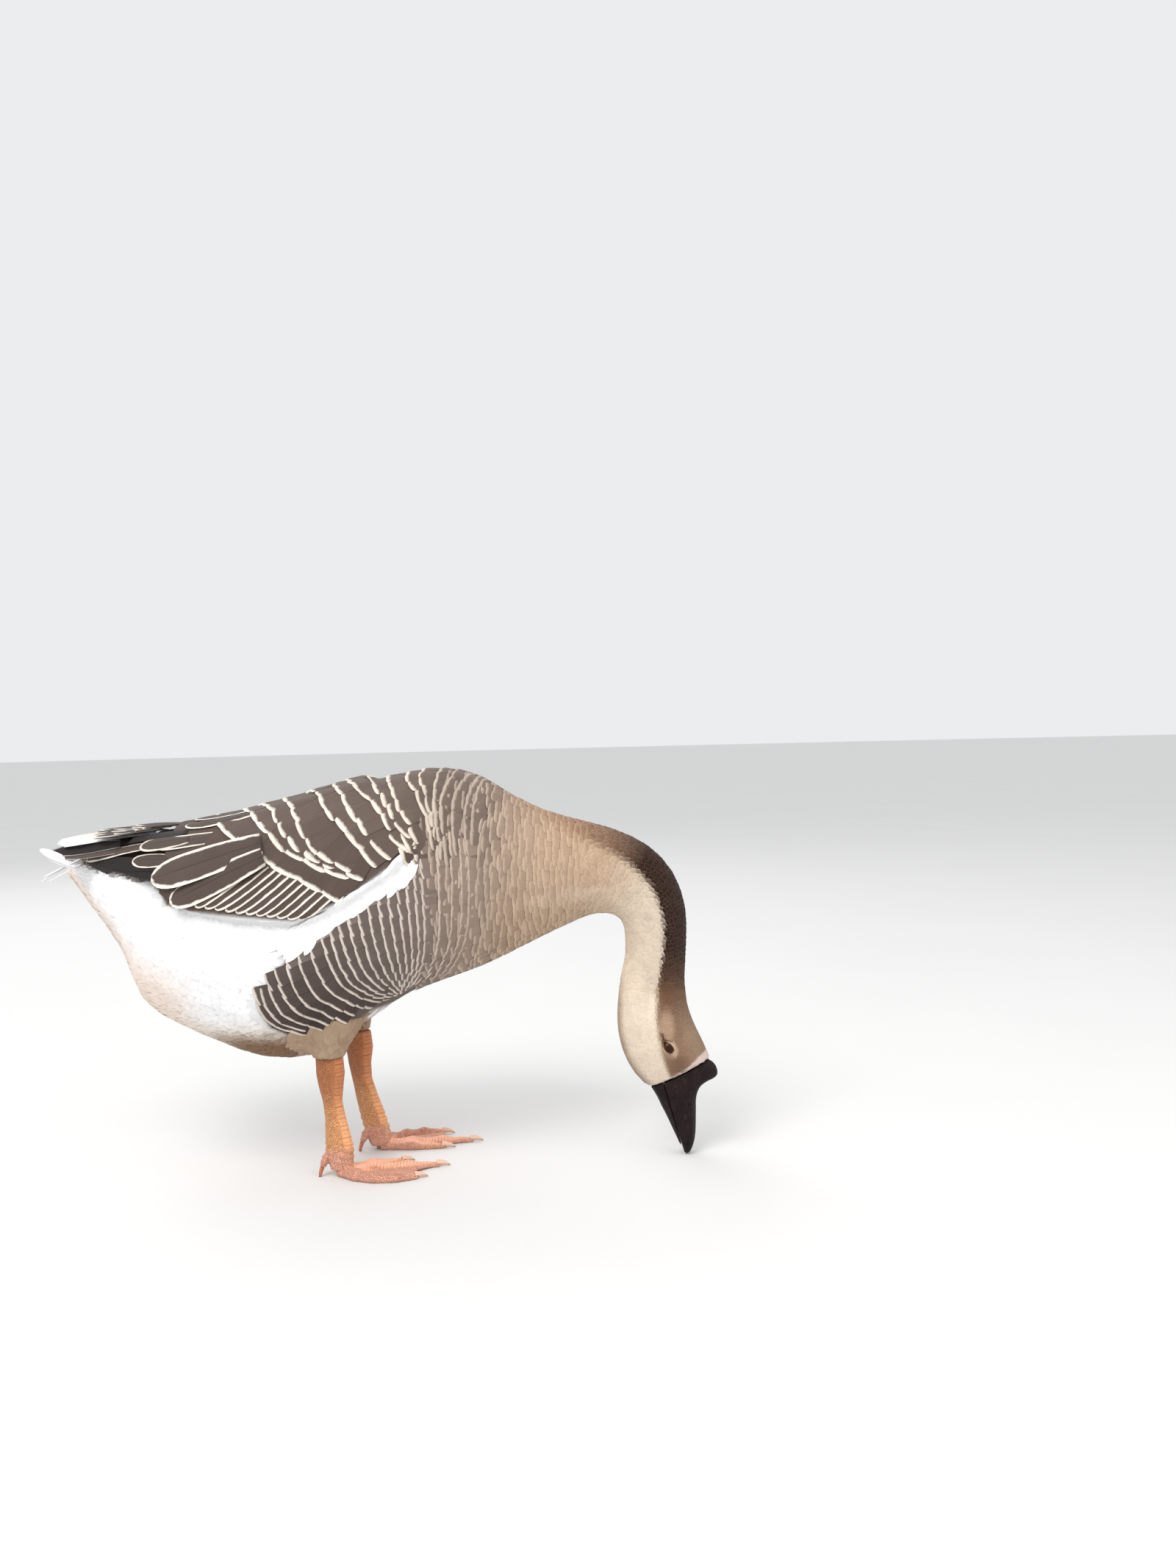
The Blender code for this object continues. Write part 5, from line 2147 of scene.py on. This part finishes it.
    def fan(self, bed: Bed, form: Form, turn: float, start: float, long: float, width: float, rise: Pair,
            look: Look) -> None:
        """Lays one feather of the fan.

        Args:
            bed: Where it goes.
            form: The fan's form.
            turn: Its angle from straight back.
            start: Its root's distance from the pivot.
            long: Its length.
            width: Its width.
            rise: How high root and tip lie.
            look: Its marking.
        """
        spot = form.nearest(self.roof(max(start, 0.021), turn))
        heading = self.roof(0.14, turn) - spot[0]
        jitter = bed.draw.gauss(0, 0.012)
        bed.lay(form, spot, Matrix.Rotation(jitter, 3, "Z") @ heading.normalized(), (long, width), rise,
            look, home=(turn + 1, start), roll=bed.draw.uniform(-0.04, 0.04))


@dataclass
class ThighTufts:
    """Soft feathers that hang over the tops of the legs, cream mixed mostly with tan as painted shade.

    Attributes:
        tops: The top of each leg: x, y and the height of the thigh's end.
    """

    tops: tuple[Point, ...] = ((-0.054, -0.047, 0.126), (-0.034, 0.041, 0.132))

    def build(self, form: Form) -> Bed:
        """Lays rings of tufts round each leg's top.

        Args:
            form: What they lie on.

        Returns:
            The feathers, laid.
        """
        bed = Bed("thigh_feathers", Cut(7, 3, tip=0.35, base=0.6, crown=0.03, thick=0.0003), seed=81)
        rows = 11
        for x, y, low in self.tops:
            for row in range(rows):
                height = low + 0.003 + 0.0038 * row
                radius = 0.011 + 0.0026 * row
                count = 24 + 4 * row
                for k in range(count):
                    angle = math.tau * (k + row % 2 / 2) / count
                    way = Vector((math.cos(angle), math.sin(angle), 0))
                    place = Vector((x, y, height)) + way * radius
                    spot = form.nearest(place)
                    if spot[0].z > low + 0.05 or (spot[0] - place).length > 0.02:
                        continue
                    heading = Vector((-0.25, 0, -1)) + way * 0.1
                    heading = Matrix.Rotation(bed.draw.gauss(0, 0.10), 3, "Y") @ heading
                    # Painted shade: the tufts under the body are mixed mostly to tan.
                    shade = mix(Hue.CREAM, Hue.TAN, 0.80 + 0.12 * bed.draw.random())
                    bed.lay(form, spot, heading.normalized(), (0.020 * bed.draw.uniform(0.9, 1.1),
                        0.0088), (-0.0012, bed.draw.uniform(-0.0003, 0.0003)),
                        Look(shade, Hue.CREAM, down=0.9), home=(angle / math.tau, row / rows + (y > 0)))
        return bed


# ---- bill, eyes and legs ----


@dataclass
class Bill:
    """The horny bill with its knob.

    Attributes:
        voxel: The fineness of its mesh.
        nostril: The middle of the right nostril.
        corner: The corner of the mouth, x and z.
        tip: The tip of the mouth line, x and z.
    """

    voxel: float = 0.00075
    nostril: Point = (0.3110, -0.0100, 0.0520)
    corner: Pair = (0.2851, 0.0740)
    tip: Pair = (0.3038, 0.0050)

    NOSTRIL = (0.0042, 0.0017)  # half its length and half its height
    RIDGE = 0.0021  # the spacing of the ridges along the mouth

    def build(self) -> list[Piece]:
        """Makes the upper bill with the knob, and the lower bill.

        Returns:
            Both pieces.
        """
        upper = joined_copy("bill_and_knob", ["bill_upper", "bill_knob"])
        remeshed(upper, self.voxel, 10)
        self.melt(upper)
        lower = joined_copy("lower_bill", ["bill_lower"])
        remeshed(lower, self.voxel, 6)
        self.shape(upper, 1.0)
        self.shape(lower, -1.0)
        material = HornFinish("bill_horn", Hue.HORN, Hue.HORN_LIGHT, (0.52, 0.7)).build()
        for piece in (upper, lower):
            piece.data.materials.append(material)
        return [upper, lower]

    def melt(self, upper: Piece) -> None:
        """Smooths the crease between the knob and the bill.

        Args:
            upper: The upper bill with the knob.
        """
        crease = Vector((0.3180, 0, 0.0690))
        group = upper.vertex_groups.new(name="crease")
        for vertex in upper.data.vertices:
            away = Vector((vertex.co.x, vertex.co.y * 0.4, vertex.co.z)) - crease
            group.add([vertex.index], ramp(away.length, 0.020, 0.008), "REPLACE")
        apply_modifier(upper, "SMOOTH", factor=0.9, iterations=220, vertex_group="crease")

    def shape(self, piece: Piece, above: float) -> None:
        """Presses in the nostrils and the ridges along the mouth.

        Args:
            piece: The upper or lower bill.
            above: 1 for the upper, -1 for the lower.
        """
        corner, tip = flat(*self.corner), flat(*self.tip)
        line = (tip - corner).normalized()
        across = Vector((-line.z, 0, line.x))
        form, pressed = Form(piece), []
        for place, normal in zip(form.places, form.normals):
            push = 0.0
            hang = ramp(place.x, 0.320, 0.336) * ramp(place.z, 0.086, 0.071) * (above > 0)
            place = place + Vector((-0.0012, 0, 0.0048)) * hang
            away = flat(place.x - self.nostril[0], place.z - self.nostril[2])
            long, wide = away.dot(line) / self.NOSTRIL[0], away.dot(across) / self.NOSTRIL[1]
            if abs(place.y) > 0.004 and above > 0:
                push -= 0.0020 * math.exp(-((long**2 + wide**2) ** 1.5))
                push += 0.0004 * math.exp(-(((long / 1.5) ** 2 + (wide / 2.0) ** 2 - 1) ** 2) * 4)
            reach = (place - corner).dot(line)
            off = (place - corner).dot(across)
            rows = math.exp(-((off / 0.0016) ** 2)) * ramp(reach, 0.004, 0.012)
            rows *= ramp(reach, 0.068, 0.058) * ramp(abs(place.y), 0.004, 0.007)
            push += 0.00028 * rows * math.sin(math.tau * reach / self.RIDGE)
            pressed.append(tuple(place + normal * push))
        move(piece.data, pressed)


@dataclass
class EyeSet:
    """The eyes' openings and lids.

    Attributes:
        centre: The middle of the right eye.
        radius: The eyeball's radius.
        half_long: Half the opening's length.
        half_wide: Half its width.
    """

    centre: Point = (0.28960, -0.0178, 0.1175)
    radius: float = 0.0078
    half_long: float = 0.0076
    half_wide: float = 0.0043

    LONG = Vector((0.6, 0, -0.8))
    WIDE = Vector((0.8, 0, 0.6))

    def covers(self, place: Vector) -> bool:
        """Whether a place of the head lies in the opening or on the lids.

        Args:
            place: The place.

        Returns:
            True where it does.
        """
        away = place - Vector(self.centre)
        away.y = 0
        if abs(place.y) < EYE_ASIDE:
            return False
        long = away.dot(self.LONG) / (self.half_long + 0.0022)
        wide = away.dot(self.WIDE) / (self.half_wide + 0.0017)
        return long**2 + wide**2 < 1

    def lids(self) -> Piece:
        """The rims of both eyes as one piece.

        Returns:
            The piece.
        """
        model = bmesh.new()
        rings = (  # share of the opening, distance from the eye's centre in radii
            (0.90, 1.005), (0.94, 1.05), (1.02, 1.09), (1.14, 1.10), (1.30, 1.07), (1.50, 0.96),
            (1.30, 0.90), (1.0, 0.93),
        )
        count = 56
        tones = (0.0, 0.0, 0.35, 0.85, 1.0, 1.0, 1.0, 0.0)
        colours = []
        for side in Side:
            out = Vector((0, side.value, 0))
            centre = Vector((self.centre[0], -side.value * self.centre[1], self.centre[2]))
            loops = []
            for share, far in rings:
                loop = []
                for k in range(count):
                    t = math.tau * k / count
                    pinch = abs(math.sin(t)) ** 1.25 * (1 if math.sin(t) > 0 else -1)
                    long = math.cos(t) * (self.half_long + (share - 1) * 0.006)
                    wide = pinch * (self.half_wide + (share - 1) * 0.0065)
                    wide += 0.0006 * (share - 1) * math.sin(t)
                    radius = self.radius * far
                    depth = math.sqrt(max(radius**2 - long**2 - wide**2, 0.0000032))
                    loop.append(model.verts.new(centre + self.LONG * long + self.WIDE * wide + out *
                        depth))
                    tone = mix(Hue.LID_EDGE, Hue.LID_PALE, tones[len(loops)])
                    colours.append((*mix(tone, Hue.LID_CORNER, 0.6 * ramp(math.cos(t), -0.3, -1.0)), 1.0))
                loops.append(loop)
            for i, loop in enumerate(loops):
                after = loops[(i + 1) % len(loops)]
                for k in range(count):
                    nearby = (k + 1) % count
                    model.faces.new((loop[k], loop[nearby], after[nearby], after[k]))
        bmesh.ops.recalc_face_normals(model, faces=model.faces)
        mesh = bpy.data.meshes.new("eye_rims")
        model.to_mesh(mesh)
        model.free()
        obj = linked("eye_rims", mesh)
        active_only(obj)
        bpy.ops.object.shade_smooth()
        paint(mesh, "ground", colours)
        mesh.materials.append(SkinFinish("lid_skin").build())
        return obj


@dataclass
class Legs:
    """The scaly legs and webbed feet.

    Attributes:
        voxel: The fineness of their mesh.
        web_sag: How far the webs sag between the toes.
        web_low: The least height of the webs.
    """

    voxel: float = 0.0011
    web_sag: float = 0.0016
    web_low: float = 0.0042

    SHANK_PLATE = 0.0040  # the spacing of the plates down the shank
    TOE_PLATE = 0.0034  # their spacing along the toes
    ANKLES = {"right": (-0.0500, -0.0460), "left": (-0.0240, 0.0385)}  # x and y

    def build(self, side: Side) -> Piece:
        """Makes one leg with its foot, and marks its scales.

        Args:
            side: Which side.

        Returns:
            The leg.
        """
        word = side.word
        leg = joined_copy(f"leg_{word}", [f"shank_{word}", f"foot_{word}", f"hind_toe_{word}"])
        toes = self.toes(word)
        self.add_webs(leg, word, toes)
        remeshed(leg, self.voxel, 5)
        mesh = leg.data
        ankle = Vector((*self.ANKLES[word], 0))
        form, tones, plates, raised = Form(leg), [], [], []
        upper, foot = Hue.ORANGE, Hue.FOOT
        for place, normal in zip(form.places, form.normals):
            low = ramp(place.z, 0.034, 0.018)
            tone = mix(mix(upper, Hue.ORANGE_LIGHT, ramp(place.z, 0.10, 0.045)), foot, low)
            share = ramp(normal.x, 0.05, 0.45) * (1 - low)
            phase = place.z / self.SHANK_PLATE
            if low > 0.5:
                phase = (Vector((place.x, place.y, 0)) - ankle).length / self.TOE_PLATE
                share = ramp(place.z, 0.0035, 0.0065) * ramp(normal.z, 0.1, 0.6)
            away = Vector((place.x, place.y, 0)) - ankle
            nearby = [toe * min(max(away.dot(toe) / toe.length_squared, 0), 1) for toe in toes]
            aside = min((away - spot).length for spot in nearby)
            web = low * ramp(aside, 0.0045, 0.0075)
            share *= 1 - web
            tone = mix(tone, mix(foot, Hue.WEB, 0.8), web)
            # Painted shade: faces that look down, under the toes and webs, are darkened towards brown.
            tone = mix(tone, mix(foot, Hue.CHOCOLATE, 0.5), 0.5 * ramp(normal.z, -0.1, -0.7))
            step = abs(phase % 1.0 - 0.5) * 2
            push = 0.00028 * share * (0.5 - step**3)
            fold = math.sin(math.tau * (place.z + 0.3 * place.x) / 0.0068)
            push += 0.0005 * fold * ramp(place.z, 0.012, 0.020) * ramp(place.z, 0.046, 0.034)
            push += 0.0002 * web * math.sin(math.tau * away.length / 0.0042)
            raised.append(tuple(place + normal * push))
            tones.append((*tone, share))
            plates.append((phase % 1.0, 0, 0, 1))
        move(mesh, raised)
        paint(mesh, "ground", tones)
        paint(mesh, "plates", plates)
        return leg

    def toes(self, word: str) -> list[Vector]:
        """The way from the ankle to each front toe's claw, flat on the floor.

        Args:
            word: The side, in a word.

        Returns:
            A vector for each toe, from the inner one out.
        """
        ankle = Vector((*self.ANKLES[word], 0))
        found = []
        for toe in ("inner", "middle", "outer"):
            low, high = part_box(f"claw_{toe}_{word}")
            middle = (Vector(low) + Vector(high)) / 2
            found.append(Vector((middle.x, middle.y, 0)) - ankle)
        return found

    def add_webs(self, leg: Piece, word: str, toes: list[Vector]) -> None:
        """Adds the webs between the front toes, sagging a little from toe to toe.

        Args:
            leg: The leg before its remesh.
            word: The side's word.
            toes: The way to each claw.
        """
        foot = Form(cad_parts[f"foot_{word}"])
        ankle = Vector((*self.ANKLES[word], 0))
        rows, columns = 16, 12
        model = bmesh.new()
        model.from_mesh(leg.data)

        def height(toe: Vector, share: float) -> float:
            """How high the foot stands at a share of a toe, or the web's low edge beside it."""
            hit = foot.cast(ankle + toe * share + UP * 0.1, -UP)
            return hit[0].z if hit else self.web_low

        for first, second in zip(toes, toes[1:]):
            layers = []
            for high in (True, False):
                grid = []
                for i in range(rows + 1):
                    share = 0.10 + 0.84 * i / rows
                    ends = height(first, share), height(second, share)
                    for k in range(columns + 1):
                        across = k / columns
                        between_toes = math.sin(math.pi * across)
                        reach = share * (1 - 0.11 * between_toes * i / rows)
                        level = ends[0] + (ends[1] - ends[0]) * across - 0.0010
                        level = max(min(level, 0.016) - self.web_sag * between_toes, self.web_low)
                        place = ankle + first.lerp(second, across) * reach
                        place.z = level if high else 0.0012
                        grid.append(model.verts.new(place))
                layers.append(grid)
            self.close(model, layers, rows, columns)
        bmesh.ops.recalc_face_normals(model, faces=model.faces)
        model.to_mesh(leg.data)
        model.free()

    def close(self, model: bmesh.types.BMesh, layers: list[list], rows: int, columns: int) -> None:
        """Closes two grids of points into one solid.

        Args:
            model: The mesh in the making.
            layers: The upper grid and the lower one.
            rows: How many rows of faces.
            columns: How many columns of faces.
        """
        top, low = layers
        wide = columns + 1
        for i in range(rows):
            for k in range(columns):
                corners = (i * wide + k, i * wide + k + 1, (i + 1) * wide + k + 1, (i + 1) * wide + k)
                for grid in layers:
                    model.faces.new([grid[c] for c in corners])
        edge = list(range(columns))
        edge += [i * wide + columns for i in range(rows)]
        edge += [rows * wide + k for k in range(columns, 0, -1)]
        edge += [i * wide for i in range(rows, 0, -1)]
        for a, b in zip(edge, edge[1:] + edge[:1]):
            model.faces.new((top[a], top[b], low[b], low[a]))


# ---- studio ----


@dataclass(frozen=True)
class Lamp:
    """A soft square lamp.

    Attributes:
        name: Its name.
        place: Where it hangs.
        size: Its side.
        power: Its power in watts.
        warmth: Its colour.
    """

    name: str
    place: Point
    size: float
    power: float
    warmth: Colour = (1.0, 1.0, 1.0)

    def hang(self, target: Vector) -> None:
        """Hangs it, pointing at a target.

        Args:
            target: Where it points.
        """
        data = bpy.data.lights.new(self.name, "AREA")
        data.size, data.energy, data.color = self.size, self.power, self.warmth
        lamp = linked(self.name, data)
        lamp.location = self.place
        way = target - Vector(self.place)
        lamp.rotation_euler = way.to_track_quat("-Z", "Y").to_euler()


@dataclass
class Studio:
    """A pale floor, soft light and the camera.

    Attributes:
        eye: Where the camera stands.
        dip: How far it looks down, in degrees.
        roll: How far it leans, in radians.
        lens: Its focal length, in millimetres.
        lamps: The lamps.
    """

    eye: Point = (0.2126, -1.3680, 0.4400)
    dip: float = 2.0
    roll: float = 0.024
    lens: float = 30.04
    lamps: tuple[Lamp, ...] = (Lamp("sky_light", (-0.9, -1.9, 2.6), 1.5, 52.0, (1.0, 0.985, 0.96)),
        Lamp("fill_light", (1.8, -1.6, 1.6), 2.4, 16.0), Lamp("rear_light", (-1.2, 2.2, 2.4), 2.4, 22.0))

    SENSOR = 36.0  # the width of the camera's frame, in millimetres
    FLOOR = 60.0  # the floor's radius

    def build(self) -> None:
        """Sets up the studio."""
        for lamp in self.lamps:
            lamp.hang(Vector((0.0, 0.0, 0.22)))
        self.floor()
        world = bpy.data.worlds.new("studio")
        world.use_nodes = True
        back = world.node_tree.nodes["Background"]
        back.inputs[0].default_value = (0.97, 0.98, 1.0, 1.0)
        back.inputs[1].default_value = 0.86
        bpy.context.scene.world = world
        bpy.context.scene.view_settings.view_transform = "Standard"
        self.camera()

    def floor(self) -> None:
        """Lays the pale floor."""
        active = bpy.context.view_layer.objects.active
        if active:
            active_only(active)
            active.select_set(False)
        bpy.ops.mesh.primitive_circle_add(vertices=96, radius=self.FLOOR, fill_type="NGON",
            location=(0, 0, 0))
        floor = bpy.context.active_object
        floor.name = "floor"
        n = Nodes("pale_floor")
        n.set(Base_Color=n.blend(n.noise(3.0), (0.755, 0.75, 0.74), (0.785, 0.78, 0.77)), Roughness=0.9)
        floor.data.materials.append(n.material)

    def camera(self) -> None:
        """Places the camera."""
        data = bpy.data.cameras.new("camera")
        data.lens, data.sensor_width = self.lens, self.SENSOR
        camera = linked("camera", data)
        dip = math.radians(self.dip)
        ahead = Vector((0, math.cos(dip), -math.sin(dip)))
        above = Vector((0, math.sin(dip), math.cos(dip)))
        right = Vector((1, 0, 0)) * math.cos(self.roll) - above * math.sin(self.roll)
        up = above * math.cos(self.roll) + Vector((1, 0, 0)) * math.sin(self.roll)
        turn = Matrix((right, up, -ahead)).transposed()
        camera.matrix_world = Matrix.Translation(self.eye) @ turn.to_4x4()
        bpy.context.scene.camera = camera


# ---- the whole bird ----


def finish_piece(piece: Piece, nodes: tuple[str, ...] = ()) -> Piece:
    """Fixes a piece to the bird and reports it.

    Args:
        piece: The piece.
        nodes: The solids it stands for.

    Returns:
        The same piece.
    """
    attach(piece, BODY)
    if nodes:
        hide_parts(*nodes)
    count = sum(len(p.vertices) - 2 for p in piece.data.polygons)
    log.info("%s: %d triangles", piece.name, count)
    return piece


def dress_solids() -> None:
    """Gives the eyes and claws, whose solids stay, their finishes."""
    claw = ClawFinish().build()
    hind_claw = ClawFinish("hind_claw_horn", Hue.FOOT_DEEP).build()
    for name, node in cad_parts.items():
        if name.startswith("claw"):
            node.data.materials.clear()
            node.data.materials.append(hind_claw if "hind" in name else claw)
        elif name.startswith("eye"):
            side = -1 if name.endswith("right") else 1
            low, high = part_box(name)
            centre = (low + high) / 2
            axis = Vector((0.10, side, -0.05)).normalized()
            finish = EyeFinish(tuple(centre), tuple(axis), EyeSet.radius, f"wet_{name}")
            node.data.materials.clear()
            node.data.materials.append(finish.build())


def main() -> None:
    """Builds the goose and its studio."""
    logging.basicConfig(level=logging.INFO, format="%(message)s")
    dress_solids()
    lay = Lay()
    plumage = Plumage(lay)
    skin = Skin()
    flesh = (*skin.flesh, "eye_right", "eye_left")
    flight = ("primaries_right", "primaries_left")
    forms = {"body": skin.outer_form("body_form", flesh), "wing": skin.outer_form("wing_form",
        (*flesh, *skin.wings)), "flight": skin.outer_form("flight_form", (*flesh, *skin.wings, *flight),
        3)}
    finish_piece(skin.build(plumage), (*skin.flesh, *skin.wings))

    soft = VaneFinish("soft_vane", barbs=16.0, roughness=0.8, depth=0.0002, blur=0.8)
    barred = VaneFinish("barred_vane", barbs=30.0, shaft=0.12, roughness=0.7, depth=0.0002, blur=0.45)
    stiff = VaneFinish("stiff_vane", barbs=46.0, shaft=0.35, roughness=0.62, depth=0.0002, barred=False,
        blur=0.35)
    soft_vane, barred_vane, stiff_vane = soft.build(), barred.build(), stiff.build()
    rings = RingCoat(forms, plumage)
    finish_piece(rings.head().piece(soft_vane))
    finish_piece(rings.neck().piece(soft_vane))
    finish_piece(rings.breast().piece(soft_vane))
    finish_piece(rings.down().piece(soft_vane))
    finish_piece(ThighTufts().build(forms["body"]).piece(soft_vane))
    body, wing = Body(forms), WingFeathers(forms)
    for side in Side:
        word = side.word
        finish_piece(body.flank(side).piece(barred_vane))
        finish_piece(wing.flight(side).piece(stiff_vane), (f"primaries_{word}",))
        finish_piece(wing.folded(side).piece(stiff_vane))
        finish_piece(body.mantle(side).piece(barred_vane))
        finish_piece(body.border(side).piece(soft_vane))
    finish_piece(Tail().build().piece(stiff_vane), ("tail",))

    upper, lower = Bill().build()
    finish_piece(upper, ("bill_upper", "bill_knob"))
    finish_piece(lower, ("bill_lower",))
    finish_piece(EyeSet().lids())
    leg_skin = LegFinish().build()
    for side in Side:
        word = side.word
        leg = Legs().build(side)
        leg.data.materials.append(leg_skin)
        finish_piece(leg, (f"shank_{word}", f"foot_{word}", f"hind_toe_{word}"))

    Studio().build()


if __name__ == "__main__":
    main()
